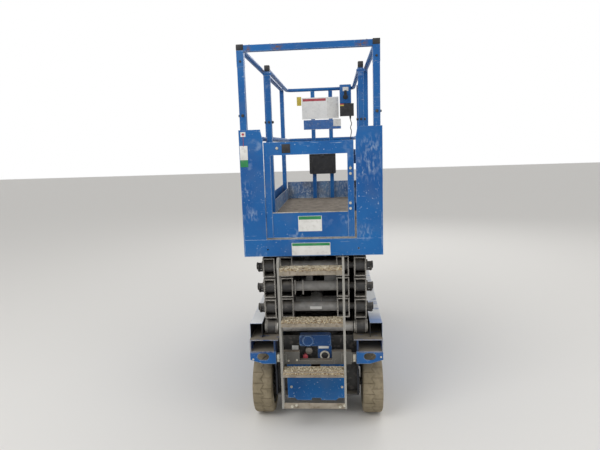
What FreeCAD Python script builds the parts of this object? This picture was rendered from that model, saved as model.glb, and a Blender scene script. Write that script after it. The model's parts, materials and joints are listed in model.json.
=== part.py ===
"""A slab scissor lift, seen from the ladder end, as a parametric document.

Millimetres, +Z up, +Y towards the steered end, +X to the right of someone
who stands behind the ladder.  The origin is on the floor under the middle.
"""
import FreeCAD
import Part
import Sketcher
import math
import os
import re

doc = FreeCAD.newDocument("scissor_lift")
sheet = doc.addObject("Spreadsheet::Sheet", "sizes")

# Driving dimensions
SIZES = {
    # the whole machine, its sheets and its clearances
    "half_wide": 405, "chassis_end": 1130, "end_room": 90, "gap": 0.3, "move_gap": 5, "sheet_steel": 6,
    "thin_sheet": 4,
    # wheels and axles
    "axle_back": 205, "tyre_radius": 190.5, "tyre_wide": 127, "tyre_shoulder": 14, "tyre_thick": 62.5,
    "rim_wall": 10, "rim_dish": 38, "hub_radius": 52, "hub_long": 50, "stub_radius": 25,
    "stub_past": 10.5, "axle_flange": 75, "wheel_gap": 6, "yoke_thick": 67, "yoke_half": 48,
    "yoke_low": 112, "yoke_gap": 7, "king_back": 54, "king_radius": 20, "king_past": 27,
    "motor_long": 75, "motor_radius": 55,
    # chassis
    "floor_low": 178, "floor_thick": 8, "floor_short": 40, "beam_from_edge": 150, "beam_thick": 10,
    "beam_top": 546, "beam_rise": 60, "well_from_axle": 275, "deck_low": 395, "deck_thick": 8,
    "neck_gap": 30, "shelf_lip": 28, "skirt_gap": 5, "channel_deep": 74, "cover_wide": 75,
    "cover_high": 97, "cover_short": 36, "bumper_short": 100, "bumper_chamfer": 70, "chin_back": 20,
    "chin_up": 40,
    # pieces at the ladder end
    "plate_lap": 13, "end_plate_tall": 75, "end_plate_slope": 24, "lash_from_edge": 79, "lash_z": 447,
    "lash_radius": 22.5, "lash_slot": 72, "bar_short": 43, "bar_tall": 78, "bar_drop": 3,
    "bar_deep": 34, "mouth_left": -101, "mouth_right": 96, "mouth_low": 420, "tab_trim": 9,
    "hanger_wide": 26, "hanger_trim": 12, "bulkhead_back": 90, "skirt_left": -183, "skirt_right": 172,
    "skirt_low": 145, "skirt_drop": 5, "skirt_corner": 42, "skirt_cut": 15, "notch_left": -35,
    "notch_right": 22, "notch_deep": 14, "notch_down": 38, "ladder_left": -207, "ladder_right": 178,
    "ladder_top": 1070, "ladder_foot": 152, "ladder_sheet": 12, "rail_nose": 8, "rail_foot": 40,
    "rail_sweep": 70, "rail_shoulder": 46, "rail_slope": 30, "rail_lean": 2, "rail_corner": 22,
    "step_rise": 310, "step_top": 1008, "step_deep": 70, "step_face": 36, "housing_left": -102,
    "housing_right": 91, "housing_low": 496, "housing_high": 566, "housing_deep": 46,
    "housing_round": 14, "dial_x": -49, "dial_radius": 33, "inlet_left": 9, "inlet_right": 94,
    "inlet_low": 404, "inlet_deep": 40, "inlet_radius": 30, "inlet_z": 435, "stop_x": -68,
    "stop_z": 425, "stop_radius": 17, "knob_x": -45, "knob_z": 460, "knob_radius": 24,
    # scissor stack
    "arm_short": 110, "level_pitch": 129, "stack_rise": 50, "arm_deep": 118, "arm_wall": 6,
    "stack_gap": 15, "outer_wide": 72, "arms_apart": 31, "inner_wide": 75, "pin_radius": 20,
    "boss_radius": 38, "tube_radius": 30, "arm_ear": 45, "pin_past": 42, "end_past": 8,
    "bracket_gap": 6, "bracket_thick": 12, "bracket_half": 62, "brace_from_pin": 130,
    # lift cylinder
    "foot_from_end": 140, "head_pivot": 350, "eye_radius": 46, "rod_eye": 40, "cup_turn": 42,
    "cup_wrap": 18, "eye_half": 34, "barrel_radius": 42, "bore_radius": 35, "gland_thick": 16,
    "piston_thick": 40, "rod_radius": 27, "barrel_mouth": 175, "rod_tail": 130,
    # platform
    "deck_rise": 53, "plate_thick": 8, "track_thick": 5, "track_past": 10, "track_short": 20,
    "track_front": 260, "fascia_deep": 99, "flange_wide": 34, "toe_high": 150, "hole_from_edge": 140,
    "hole_up": 41, "hole_radius": 5, "panel_right": 255, "corner_high": 635, "corner_slope": 12,
    "corner_return": 64, "corner_clip": 60,
    # guard rails
    "post_wide": 38, "post_from_edge": 29, "rail_high": 1083, "mid_high": 592, "post_past": 14,
    "rail_radius": 16, "front_post_back": 50, "main_mid_post": -40,
    # gate
    "gate_left": -267, "gate_right": 244, "panel_gap": 2, "gate_lift": 10, "gate_high": 552,
    "gate_bar": 74, "gate_stile": 36, "kick_high": 147, "gate_inset": 6, "gate_deep": 26,
    "gate_pivot_x": 251.5, "pivot_gap": 2, "hinge_radius": 7, "knuckle_high": 50, "knuckle_drop": 60,
    "leaf_high": 30, "leaf_past": 9,
    # roll-out deck
    "out_from_edge": 54, "out_thick": 6, "panel_rise": 3, "panel_margin": 6, "out_post_back": 24,
    "out_post_y": -343, "out_rail_back": 30, "out_bend": 60, "out_high": 1075, "front_post_left": -73,
    "front_post_right": 101, "out_toe_high": 175, "toe_side_high": 115,
    # controls and boards on the front rail
    "box_from_edge": 104, "box_wide": 110, "box_back": 30, "box_drop": 150, "box_rise": 28,
    "box_deep": 62, "box_round": 8, "stick_drop": 118, "boot_radius": 24, "boot_long": 14,
    "grip_radius": 15, "grip_high": 58, "lug_half": 20, "module_from_edge": 25, "module_high": 118,
    "module_deep": 66, "gland_from_edge": 59, "gland_back": 55, "gland_long": 12, "gland_radius": 9,
    "board_left": -180, "board_right": 180, "board_tall": 207, "board_drop": 78, "strip_left": -167,
    "strip_right": 200, "strip_tall": 93, "strip_drop": 8, "manual_left": -119, "manual_right": 141,
    "manual_tall": 207, "manual_drop": 132, "manual_deep": 52, "manual_round": 16, "lead_radius": 4,
    "socket_tall": 48, "socket_drop": 2, "socket_half": 22, "socket_from_edge": 39, "socket_deep": 40,
    # side modules
    "tray_gap": 7, "tray_from_axle": 225, "guard_from_axle": 285, "tray_low": 186, "seat_high": 8,
    "tray_wall": 5, "tray_inset": 14, "tray_round": 16, "seat_radius": 9, "block_gap": 12,
    "battery_high": 400, "guard_low": 158, "guard_wide": 74,
}
for row, (alias, size) in enumerate(SIZES.items(), 1):
    sheet.set("A%d" % row, alias)
    sheet.set("B%d" % row, str(size))
    sheet.setAlias("B%d" % row, alias)
doc.recompute()

# Places that follow from the sizes
DERIVED = {
    # wheels and chassis, in from the machine's side and back from its ends
    "half_base": "(chassis_end - axle_back)",
    "rim_radius": "(tyre_radius - tyre_thick)",
    "yoke_out": "(half_wide - tyre_wide - wheel_gap)",
    "yoke_in": "(yoke_out - yoke_thick)",
    "king_x": "(yoke_out - king_back)",
    "motor_in": "(yoke_in - motor_long)",
    "stub_reach": "(half_wide - tyre_wide / 2 + stub_past)",
    "yoke_top": "(deck_low - yoke_gap)",
    "king_top": "(deck_low + deck_thick + king_past)",
    "floor_half": "(chassis_end - floor_short)",
    "beam_out": "(half_wide - beam_from_edge)",
    "well_rear": "(half_base - well_from_axle)",
    "neck_half": "(motor_in - neck_gap)",
    "shelf_in": "(beam_out - shelf_lip)",
    "shelf_out": "(half_wide - skirt_gap)",
    "cover_in": "(shelf_out - cover_wide)",
    "cover_half": "(chassis_end - cover_short)",
    "channel_low": "(beam_top - channel_deep)",
    "cover_top": "(beam_top + cover_high)",
    "bumper_low": "(deck_low + deck_thick)",
    "bumper_front": "(chassis_end + end_room)",
    "bumper_half": "(shelf_out - bumper_short)",
    "end_plate_in": "(beam_out - plate_lap)",
    "end_plate_top": "(channel_low + sheet_steel)",
    "end_plate_low": "(end_plate_top - end_plate_tall)",
    "end_plate_low_out": "(end_plate_low + end_plate_slope)",
    "bar_top": "(end_plate_top - bar_drop)",
    "bar_low": "(bar_top - bar_tall)",
    "skirt_top": "(bar_low - skirt_drop)",
    "lash_x": "(shelf_out - lash_from_edge)",
    "bar_half": "(beam_out - bar_short)",
    "bulkhead_y": "(bulkhead_back - chassis_end)",
    "ladder_back": "(-chassis_end - end_room)",
    "ladder_front": "(-chassis_end - thin_sheet * 2)",
    # scissor stack: half its length at rest, its tilt and the arms' places across it
    "stack_low": "(beam_top + stack_rise)",
    "arm_length": "(2 * (chassis_end - arm_short))",
    "pin_y": "(sqrt(arm_length ^ 2 - level_pitch ^ 2) / 2)",
    "rest_tilt": "asin(level_pitch / arm_length)",
    "outer_out": "(cover_in - stack_gap)",
    "outer_in": "(outer_out - outer_wide)",
    "inner_out": "(outer_in - arms_apart)",
    "inner_in": "(inner_out - inner_wide)",
    "pin_reach": "(outer_out + pin_past)",
    "end_reach": "(outer_out + end_past)",
    "bracket_in": "(inner_out + bracket_gap)",
    "track_in": "(inner_in - track_past)",
    "track_out": "(inner_out + track_past)",
    # lift cylinder: its two pivots and the line between them
    "foot_pivot": "(arm_length - foot_from_end)",
    "foot_y": "(pin_y - foot_pivot * cos(rest_tilt))",
    "foot_z": "(stack_low + foot_pivot * sin(rest_tilt))",
    "head_y": "(pin_y - head_pivot * cos(rest_tilt))",
    "head_z": "(stack_low + 2 * level_pitch + head_pivot * sin(rest_tilt))",
    "lift_tilt": "atan((head_z - foot_z) / (head_y - foot_y))",
    "lift_reach": "sqrt((head_z - foot_z) ^ 2 + (head_y - foot_y) ^ 2)",
    # platform: heights above its deck
    "deck_top": "(stack_low + 4 * level_pitch + deck_rise)",
    "fascia_low": "(deck_top - fascia_deep)",
    "toe_top": "(deck_top + toe_high)",
    "corner_top": "(deck_top + corner_high)",
    "rail_centre": "(deck_top + rail_high)",
    "mid_rail": "(deck_top + mid_high)",
    "post_top": "(rail_centre + post_past)",
    "gate_low": "(deck_top + gate_lift)",
    "gate_top": "(gate_low + gate_high)",
    "gate_kick": "(gate_low + kick_high)",
    "out_top_rail": "(deck_top + out_high)",
    "out_toe_top": "(deck_top + out_toe_high)",
    "toe_side_top": "(deck_top + toe_side_high)",
    # posts, gate and roll-out deck
    "post_centre": "(half_wide - post_from_edge)",
    "main_front_post": "(chassis_end - front_post_back)",
    "gate_back": "(gate_inset - chassis_end)",
    "gate_pivot_y": "(gate_back + gate_deep + pivot_gap)",
    "out_half": "(half_wide - out_from_edge)",
    "out_post_x": "(out_half - out_post_back)",
    "out_rail_y": "(chassis_end - out_rail_back)",
    "out_rear": "(out_post_y - post_wide / 2)",
    "out_front": "(out_rail_y + post_wide / 2 + thin_sheet)",
    "box_low": "(out_top_rail - box_drop)",
    "box_high": "(out_top_rail + box_rise)",
    "module_low": "(box_low - gap - module_high)",
    "box_x": "(out_half - box_from_edge)",
    "module_left": "(box_x - box_wide / 2)",
    "module_right": "(out_half - module_from_edge)",
    "gland_x": "(out_half - gland_from_edge)",
    "gland_y": "(out_rail_y - gland_back)",
    "board_high": "(out_top_rail - board_drop)",
    "board_low": "(board_high - board_tall)",
    "strip_high": "(board_low - strip_drop)",
    "strip_low": "(strip_high - strip_tall)",
    "manual_high": "(mid_rail - manual_drop)",
    "manual_low": "(manual_high - manual_tall)",
    "socket_high": "(out_toe_top - socket_drop)",
    "socket_low": "(socket_high - socket_tall)",
    "socket_x": "(out_half - socket_from_edge)",
    # side modules and the guards below them
    "tray_top": "(channel_low - seat_high)",
    "tray_in": "(beam_out + tray_gap)",
    "tray_rear": "(tray_from_axle - half_base)",
    "tray_front": "(half_base - guard_from_axle)",
    "tray_pivot_x": "(shelf_out - tray_inset)",
    "tray_pivot_y": "(tray_rear + tray_inset)",
    "guard_half": "(half_base - guard_from_axle)",
}
WORD = re.compile(r"[a-z_]{3,}")
NODES = {}


def bound(expression):
    """The expression with each size's name pointing at its cell."""
    text = str(expression)
    while any(word in DERIVED for word in WORD.findall(text)):
        text = WORD.sub(lambda m: DERIVED.get(m[0], m[0]), text)
    return WORD.sub(lambda m: "sizes." + m[0] if m[0] in SIZES else m[0], text)


def number(expression):
    """What the expression comes to now, as a plain number."""
    found = sheet.evalExpression(bound(expression))
    return float(getattr(found, "Value", found))


def place(item, **offsets):
    """Bind the item's position, one expression for each axis."""
    for axis, expression in offsets.items():
        item.setExpression("Placement.Base." + axis, bound(expression))
    return item


def turn(item, axis, degrees):
    """Turn the item about an axis through its own origin."""
    item.Placement = FreeCAD.Placement(FreeCAD.Vector(), FreeCAD.Rotation(FreeCAD.Vector(*axis), 1))
    item.setExpression("Placement.Rotation.Angle", bound(degrees))
    return item


def box(name, x, y, z):
    """A block between two limits on each axis."""
    item = doc.addObject("Part::Box", name)
    for side, (low, high) in zip(("Length", "Width", "Height"), (x, y, z)):
        item.setExpression(side, bound("(%s) - (%s)" % (high, low)))
    return place(item, x=x[0], y=y[0], z=z[0])


def rod(name, axis, radius, span, across):
    """A cylinder along X, Y or Z, at the two other coordinates."""
    item = doc.addObject("Part::Cylinder", name)
    item.setExpression("Radius", bound(radius))
    item.setExpression("Height", bound("(%s) - (%s)" % (span[1], span[0])))
    if axis == "x":
        turn(item, (0, 1, 0), 90)
        return place(item, x=span[0], y=across[0], z=across[1])
    if axis == "y":
        turn(item, (-1, 0, 0), 90)
        return place(item, x=across[0], y=span[0], z=across[1])
    return place(item, x=across[0], y=across[1], z=span[0])


def fuse(name, *pieces):
    """The pieces as one solid, or as several where they stand apart."""
    item = doc.addObject("Part::MultiFuse", name)
    item.Shapes = list(pieces)
    item.Refine = True
    return item


def cut(name, base, *tools):
    """The base less every tool."""
    item = doc.addObject("Part::Cut", name)
    item.Base = base
    item.Tool = tools[0] if len(tools) == 1 else fuse(name + "_tools", *tools)
    item.Refine = True
    return item


def mirror(name, source):
    """The source's twin on the other side of the machine."""
    item = doc.addObject("Part::Mirroring", name)
    item.Source = source
    item.Normal = FreeCAD.Vector(1, 0, 0)
    return item


def pair(name, source):
    """A piece and its twin, two solids."""
    return fuse(name + "_pair", source, mirror(name + "_left", source))


def base_plane(body, role):
    """One of the body's own three planes."""
    return next(item for item in body.Origin.OriginFeatures if item.Role == role + "_Plane")


def sketch_on(body, role, name):
    """An empty sketch on one of the body's planes."""
    sketch = body.newObject("Sketcher::SketchObject", name)
    sketch.AttachmentSupport = (base_plane(body, role), [""])
    sketch.MapMode = "FlatFace"
    return sketch


def fix_point(sketch, edge, end, point):
    """Bind one end of an edge to its two distances from the origin."""
    for kind, expression in zip(("DistanceX", "DistanceY"), point):
        row = sketch.addConstraint(Sketcher.Constraint(kind, -1, 1, edge, end, number(expression)))
        sketch.setExpression("Constraints[%d]" % row, bound(expression))


def vector(point):
    return FreeCAD.Vector(number(point[0]), number(point[1]), 0)


def polygon(sketch, points):
    """A closed outline of straight edges through the points."""
    spots = [vector(point) for point in points]
    for low, high in zip(spots, spots[1:] + spots[:1]):
        sketch.addGeometry(Part.LineSegment(low, high))
    count = len(points)
    for edge in range(count):
        sketch.addConstraint(Sketcher.Constraint("Coincident", edge, 2, (edge + 1) % count, 1))
    for edge, point in enumerate(points):
        fix_point(sketch, edge, 1, point)


def plate(name, role, points, low, high):
    """A flat piece: an outline on a plane, padded between two limits across it."""
    body = doc.addObject("PartDesign::Body", name)
    sketch = sketch_on(body, role, name + "_outline")
    polygon(sketch, points)
    pad = body.newObject("PartDesign::Pad", name + "_pad")
    pad.Profile = sketch
    pad.setExpression("Length", bound("(%s) - (%s)" % (high, low)))
    pad.Midplane = True
    axis = {"YZ": "x", "XZ": "y", "XY": "z"}[role]
    return place(body, **{axis: "((%s) + (%s)) / 2" % (low, high)})


def turned(name, points, **offsets):
    """A wheel-like piece: its section spun about the X axis of its own centre."""
    body = doc.addObject("PartDesign::Body", name)
    sketch = sketch_on(body, "XZ", name + "_section")
    polygon(sketch, points)
    spin = body.newObject("PartDesign::Revolution", name + "_spin")
    spin.Profile = sketch
    spin.ReferenceAxis = (sketch, ["H_Axis"])
    spin.Angle = 360
    return place(body, **offsets)


def round_edges(name, source, axis, radius):
    """The source with every straight edge along one axis rounded."""
    doc.recompute()
    item = doc.addObject("Part::Fillet", name)
    item.Base = source
    size = number(radius)
    chosen = []
    for row, edge in enumerate(source.Shape.Edges, 1):
        ends = [vertex.Point for vertex in edge.Vertexes]
        if len(ends) == 2 and isinstance(edge.Curve, Part.Line):
            along = (ends[1] - ends[0]).normalize()
            if abs(getattr(along, axis)) > 0.999:
                chosen.append((row, size, size))
    item.Edges = chosen
    return item


def node(label, item):
    """Name the finished piece; its label is its file's name."""
    item.Label = label
    NODES[label] = item
    return item


# Chassis: floor, two side beams, the front deck over the steered wheels and its neck
floor = box("floor", ("beam_thick - beam_out", "beam_out - beam_thick"), ("-floor_half", "well_rear"),
            ("floor_low", "floor_low + floor_thick"))
beam_side = [("-floor_half", "floor_low"), ("well_rear", "floor_low"), ("well_rear", "deck_low"),
             ("chassis_end", "deck_low"), ("chassis_end", "beam_top"), ("-chassis_end", "beam_top"),
             ("-chassis_end", "end_plate_low"), ("-floor_half", "end_plate_low - beam_rise")]
node("chassis_beams", pair("beam", plate(
    "beam", "YZ", beam_side, "beam_out - beam_thick", "beam_out")))
deck_blank = box("deck_blank", ("-beam_out + beam_thick", "beam_out - beam_thick"),
                 ("well_rear", "chassis_end"), ("deck_low", "deck_low + deck_thick"))
king_bore = rod("king_bore", "z", "king_radius + gap", ("deck_low - 1", "king_top"),
                ("king_x", "half_base"))
deck = cut("deck_bored", deck_blank, king_bore, mirror("king_bore_left", king_bore))
neck = box("neck", ("-neck_half", "neck_half"), ("well_rear", "chassis_end"),
           ("floor_low + floor_thick", "deck_low"))
node("front_deck", fuse("steer_deck", deck, neck))
between_beams = ("beam_thick - beam_out", "beam_out - beam_thick")
well_wall = box("well_wall", between_beams, ("well_rear - sheet_steel", "well_rear"),
                ("floor_low + floor_thick", "deck_low"))
bulkhead = box("bulkhead", between_beams, ("bulkhead_y - sheet_steel", "bulkhead_y"),
               ("floor_low + floor_thick", "beam_top"))
node("chassis_floor", fuse("floor_pan", floor, well_wall, bulkhead))
bumper_plan = [("-bumper_half", "chassis_end"), ("bumper_half", "chassis_end"),
               ("bumper_half", "bumper_front - bumper_chamfer"),
               ("bumper_half - bumper_chamfer", "bumper_front"),
               ("bumper_chamfer - bumper_half", "bumper_front"),
               ("-bumper_half", "bumper_front - bumper_chamfer")]
bumper_chin = box("bumper_chin", ("-neck_half", "neck_half"), ("chassis_end", "bumper_front - chin_back"),
                  ("floor_low + chin_up", "bumper_low"))
node("front_bumper", fuse("bumper", plate(
    "bumper_box", "XY", bumper_plan, "bumper_low", "beam_top"), bumper_chin))

# Side channels: shelf above, outer wall and floor below, open at both ends
shelf = box("shelf", ("shelf_in", "shelf_out"), ("-chassis_end", "chassis_end"),
            ("beam_top", "beam_top + sheet_steel"))
channel_wall = box("channel_wall", ("shelf_out - sheet_steel", "shelf_out"),
                   ("-chassis_end", "chassis_end"), ("channel_low", "beam_top"))
channel_floor = box("channel_floor", ("beam_out", "shelf_out"), ("-chassis_end", "chassis_end"),
                    ("channel_low", "channel_low + sheet_steel"))
node("side_channels", pair("channel", fuse("channel", shelf, channel_wall, channel_floor)))
cover_profile = box("cover_blank", ("cover_in", "shelf_out"), ("-cover_half", "cover_half"),
                    ("beam_top + sheet_steel", "cover_top"))
cover_hollow = box("cover_hollow", ("cover_in + thin_sheet", "shelf_out - thin_sheet"),
                   ("-cover_half - 1", "cover_half + 1"),
                   ("beam_top + sheet_steel - 1", "cover_top - thin_sheet"))
cover = cut("cover", round_edges("cover_round", cover_profile, "y", "thin_sheet - 1"), cover_hollow)
node("side_covers", pair("cover", cover))

# End plates with lashing slots, the grey bar between them and the skirt below
end_outline = [("end_plate_in", "end_plate_low"), ("lash_x", "end_plate_low"),
               ("shelf_out", "end_plate_low_out"), ("shelf_out", "channel_low"),
               ("beam_out", "channel_low"), ("beam_out", "end_plate_top"),
               ("end_plate_in", "end_plate_top")]
end_blank = plate("end_blank", "XZ", end_outline, "-chassis_end - thin_sheet * 2", "-chassis_end")
slot_middle = box("slot_middle", ("lash_x - lash_slot / 2 + lash_radius",
                                  "lash_x + lash_slot / 2 - lash_radius"),
                  ("-chassis_end - 20", "-chassis_end + 10"),
                  ("lash_z - lash_radius", "lash_z + lash_radius"))
slot_ends = [rod("slot_end_" + word, "y", "lash_radius", ("-chassis_end - 20", "-chassis_end + 10"),
                 ("lash_x %s (lash_slot / 2 - lash_radius)" % sign, "lash_z"))
             for word, sign in (("in", "-"), ("out", "+"))]
end_pair = pair("end", cut("end_plate", end_blank, slot_middle, *slot_ends))
bar_blank = box("bar_blank", ("-bar_half", "bar_half"), ("-chassis_end", "bar_deep - chassis_end"),
                ("bar_low", "bar_top"))
bar_mouth = box("bar_mouth", ("mouth_left", "mouth_right"), ("-chassis_end - 1", "bar_deep - chassis_end + 1"),
                ("mouth_low", "bar_top + 1"))
bar = cut("bar", bar_blank, bar_mouth)
bar_tab = box("bar_tab", ("bar_half", "beam_out - beam_thick"),
              ("sheet_steel - chassis_end", "sheet_steel * 2 - chassis_end"),
              ("bar_low + tab_trim", "bar_top - tab_trim"))
hangers = [box("hanger_%s" % word, (inner, outer), ("ladder_front", "-chassis_end"),
               ("bar_low + hanger_trim", "bar_top - hanger_trim"))
           for word, inner, outer in (("left", "ladder_left", "ladder_left + hanger_wide"),
                                      ("right", "ladder_right - hanger_wide", "ladder_right"))]
node("cross_bar", fuse("cross_bar_whole", bar, pair("tab", bar_tab), *hangers))
skirt_cut_z = "skirt_low + skirt_cut"
skirt_outline = [("skirt_left + skirt_corner + skirt_cut", "skirt_low"), ("notch_left", "skirt_low"),
                 ("notch_left", "skirt_low + notch_deep"), ("notch_right", "skirt_low + notch_deep"),
                 ("notch_right", "skirt_low"), ("skirt_right - skirt_corner - skirt_cut", "skirt_low"),
                 ("skirt_right - skirt_corner", skirt_cut_z), ("skirt_right", skirt_cut_z),
                 ("skirt_right", "skirt_top"), ("notch_right", "skirt_top"),
                 ("notch_right", "skirt_top - notch_down"), ("notch_left", "skirt_top - notch_down"),
                 ("notch_left", "skirt_top"), ("skirt_left", "skirt_top"), ("skirt_left", skirt_cut_z),
                 ("skirt_left + skirt_corner", skirt_cut_z)]
lower_sheet = plate("lower_sheet", "XZ", skirt_outline, "-floor_half - thin_sheet", "-floor_half")
node("end_plates", fuse("end_sheets", end_pair, lower_sheet))

# Ladder: two tapered side sheets, three treads and a foot plate
rail_outline = [("ladder_back + rail_nose", "ladder_foot"), ("ladder_back + rail_foot", "ladder_foot"),
                ("ladder_front - rail_nose", "ladder_foot + rail_sweep"), ("ladder_front", "end_plate_low"),
                ("ladder_front", "ladder_top - rail_shoulder"), ("ladder_front - rail_slope", "ladder_top"),
                ("ladder_back + rail_corner", "ladder_top"),
                ("ladder_back + rail_lean", "ladder_top - rail_corner")]
rails = [plate("ladder_rail_left", "YZ", rail_outline, "ladder_left", "ladder_left + ladder_sheet"),
         plate("ladder_rail_right", "YZ", rail_outline, "ladder_right - ladder_sheet", "ladder_right")]
node("ladder_rails", fuse("ladder_sides", *rails))
between_rails = ("ladder_left + ladder_sheet", "ladder_right - ladder_sheet")
treads = []
for turn_up in range(3):
    top = "step_top - step_rise * %d" % turn_up
    tread = box("tread_%d" % turn_up, between_rails, ("ladder_back", "ladder_back + step_deep"),
                (top + " - thin_sheet", top))
    lip = box("tread_lip_%d" % turn_up, between_rails,
              ("ladder_back", "ladder_back + thin_sheet"), (top + " - step_face", top + " - thin_sheet"))
    back = box("tread_back_%d" % turn_up, between_rails,
               ("ladder_back + step_deep - thin_sheet", "ladder_back + step_deep"),
               (top + " - step_face", top + " - thin_sheet"))
    treads.append(fuse("step_%d" % turn_up, tread, lip, back))
treads.append(box("ladder_foot_plate", between_rails, ("ladder_back + rail_nose", "ladder_back + rail_nose + sheet_steel"),
                  ("ladder_foot", "ladder_foot + step_face")))
node("ladder_steps", fuse("steps", *treads))

# Boxes and fittings in the recess behind the ladder
housing_back = "bulkhead_y - sheet_steel"
housing_face = "%s - housing_deep" % housing_back
inlet_face = "%s - inlet_deep" % housing_back
housing = round_edges("housing_rounded", box(
    "housing", ("housing_left", "housing_right"), (housing_face, housing_back), ("housing_low", "housing_high")),
    "y", "housing_round")
dial = rod("dial", "y", "dial_radius", (housing_face + " - sheet_steel", housing_face),
           ("dial_x", "(housing_low + housing_high) / 2"))
node("rear_housing", fuse("housing_whole", housing, dial))
inlet = fuse("inlet", box("inlet_box", ("inlet_left", "inlet_right"), (inlet_face, housing_back),
                          ("inlet_low", "housing_low - gap")),
             rod("inlet_rim", "y", "inlet_radius", (inlet_face + " - thin_sheet * 2", inlet_face),
                 ("(inlet_left + inlet_right) / 2", "inlet_z")))
stop = fuse("stop", rod("stop_stem", "y", "stop_radius / 2", (inlet_face + " + thin_sheet", housing_back),
                        ("stop_x", "stop_z")),
            rod("stop_cap", "y", "stop_radius", (inlet_face + " - thin_sheet", inlet_face + " + thin_sheet"),
                ("stop_x", "stop_z")))
knob = rod("valve_knob", "y", "knob_radius", (inlet_face + " + thin_sheet", housing_back), ("knob_x", "knob_z"))
node("recess_fittings", fuse("fittings", inlet, stop, knob))
guard_plate = box("guard_plate", ("beam_out - 2", "beam_out + guard_wide"),
                  ("-guard_half", "guard_half"), ("guard_low", "guard_low + sheet_steel"))
guard_hinge = rod("guard_hinge", "y", "(floor_low - guard_low) / 2", ("-guard_half", "guard_half"),
                  ("beam_out - beam_thick / 2", "(floor_low + guard_low) / 2"))
node("pothole_guards", pair("guard", fuse("guard", guard_plate, guard_hinge)))

# Brackets that hold the lowest fixed pins
bracket_y = ("pin_y - bracket_half", "pin_y + bracket_half")
bracket_side = [("pin_y - bracket_half", "deck_low + deck_thick"),
                ("pin_y + bracket_half", "deck_low + deck_thick"),
                ("pin_y + bracket_half", "stack_low"),
                ("pin_y + boss_radius / 2", "stack_low + boss_radius + 8"),
                ("pin_y - boss_radius / 2", "stack_low + boss_radius + 8"),
                ("pin_y - bracket_half", "stack_low")]
bracket = fuse("bracket", plate("bracket_side", "YZ", bracket_side, "bracket_in",
                                "bracket_in + bracket_thick"),
               rod("fixed_pin", "x", "pin_radius", ("inner_in - 20", "bracket_in"),
                   ("pin_y", "stack_low")))
node("stack_brackets", pair("bracket", bracket))

# Wheels: solid tyres on dished rims, at the rear on fixed stubs, in front on steered yokes
half_tyre = "tyre_wide / 2"
tyre_section = [("-" + half_tyre, "rim_radius"), (half_tyre, "rim_radius"),
                (half_tyre, "tyre_radius - tyre_shoulder"),
                (half_tyre + " - tyre_shoulder", "tyre_radius"),
                ("tyre_shoulder - " + half_tyre, "tyre_radius"),
                ("-" + half_tyre, "tyre_radius - tyre_shoulder")]
rim_out = "rim_radius - gap"
rim_in = "rim_radius - gap - rim_wall"
edge_x = half_tyre + " - 4"
dish_out = "rim_dish + rim_wall"
rim_section = [("-(%s)" % edge_x, rim_out), (edge_x, rim_out), (edge_x, rim_in), (dish_out, rim_in),
               (dish_out, "hub_radius"), (dish_out + " + 6", "hub_radius - 10"),
               (dish_out + " + 6", "stub_radius + gap"), ("-56", "stub_radius + gap"),
               ("-56", "hub_radius"), ("rim_dish", "hub_radius"), ("rim_dish", rim_in),
               ("-(%s)" % edge_x, rim_in)]
wheel_x = "half_wide - tyre_wide / 2"
for end, way in (("rear", "-"), ("front", "")):
    tyre = turned("tyre_" + end, tyre_section, x=wheel_x, y=way + "half_base", z="tyre_radius")
    rim = turned("rim_" + end, rim_section, x=wheel_x, y=way + "half_base", z="tyre_radius")
    node("tyre_%s_right" % end, tyre)
    node("rim_%s_right" % end, rim)
    node("tyre_%s_left" % end, mirror("tyre_mirror_" + end, tyre))
    node("rim_%s_left" % end, mirror("rim_mirror_" + end, rim))
stub = fuse("stub", rod("stub_flange", "x", "axle_flange", ("beam_out", "beam_out + rim_wall"),
                        ("-half_base", "tyre_radius")),
            rod("stub_shaft", "x", "stub_radius", ("beam_out", "stub_reach"),
                ("-half_base", "tyre_radius")))
node("rear_axles", pair("stub", stub))
yoke = fuse("yoke",
            box("yoke_post", ("yoke_in", "yoke_out"), ("half_base - yoke_half", "half_base + yoke_half"),
                ("yoke_low", "yoke_top")),
            rod("king_pin", "z", "king_radius", ("yoke_top", "king_top"), ("king_x", "half_base")),
            rod("drive_motor", "x", "motor_radius", ("motor_in", "yoke_in"), ("half_base", "tyre_radius")),
            rod("front_stub", "x", "stub_radius", ("yoke_out", "stub_reach"), ("half_base", "tyre_radius")))
node("steer_yoke_right", yoke)
node("steer_yoke_left", mirror("yoke_left", yoke))

# Side modules: open trays with a block of batteries on one side and a tank on the other
tray_blank = round_edges("tray_round_blank", box(
    "tray_blank", ("tray_in", "shelf_out"), ("tray_rear", "tray_front"), ("tray_low", "tray_top")), "z",
    "tray_round")
tray_hollow = box("tray_hollow", ("tray_in + tray_wall", "shelf_out - tray_wall"),
                  ("tray_rear + tray_wall", "tray_front - tray_wall"), ("tray_low + tray_wall", "tray_top + 1"))
seats = [rod("tray_seat_%d" % row, "z", "seat_radius", ("tray_top", "channel_low - gap"),
             ("tray_pivot_x", y)) for row, y in enumerate(("tray_pivot_y", "tray_front - seat_radius * 2"))]
ears = [box("tray_ear_%d" % row, ("tray_pivot_x - seat_radius", "shelf_out - tray_wall"),
            ("%s - seat_radius" % y, "%s + seat_radius" % y), ("tray_top - 12", "tray_top"))
        for row, y in enumerate(("tray_pivot_y", "tray_front - seat_radius * 2"))]
tray = fuse("tray", cut("tray_open", tray_blank, tray_hollow), *seats, *ears)
block = box("block", ("tray_in + tray_wall + block_gap", "shelf_out - tray_wall - block_gap"),
            ("tray_rear + tray_wall + block_gap * 4", "tray_front - tray_wall - block_gap * 4"),
            ("tray_low + tray_wall + gap", "battery_high"))
node("module_tray_right", tray)
node("module_tray_left", mirror("tray_left", tray))
node("battery_block", mirror("block_left", block))
node("hydraulic_block", block)


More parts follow.
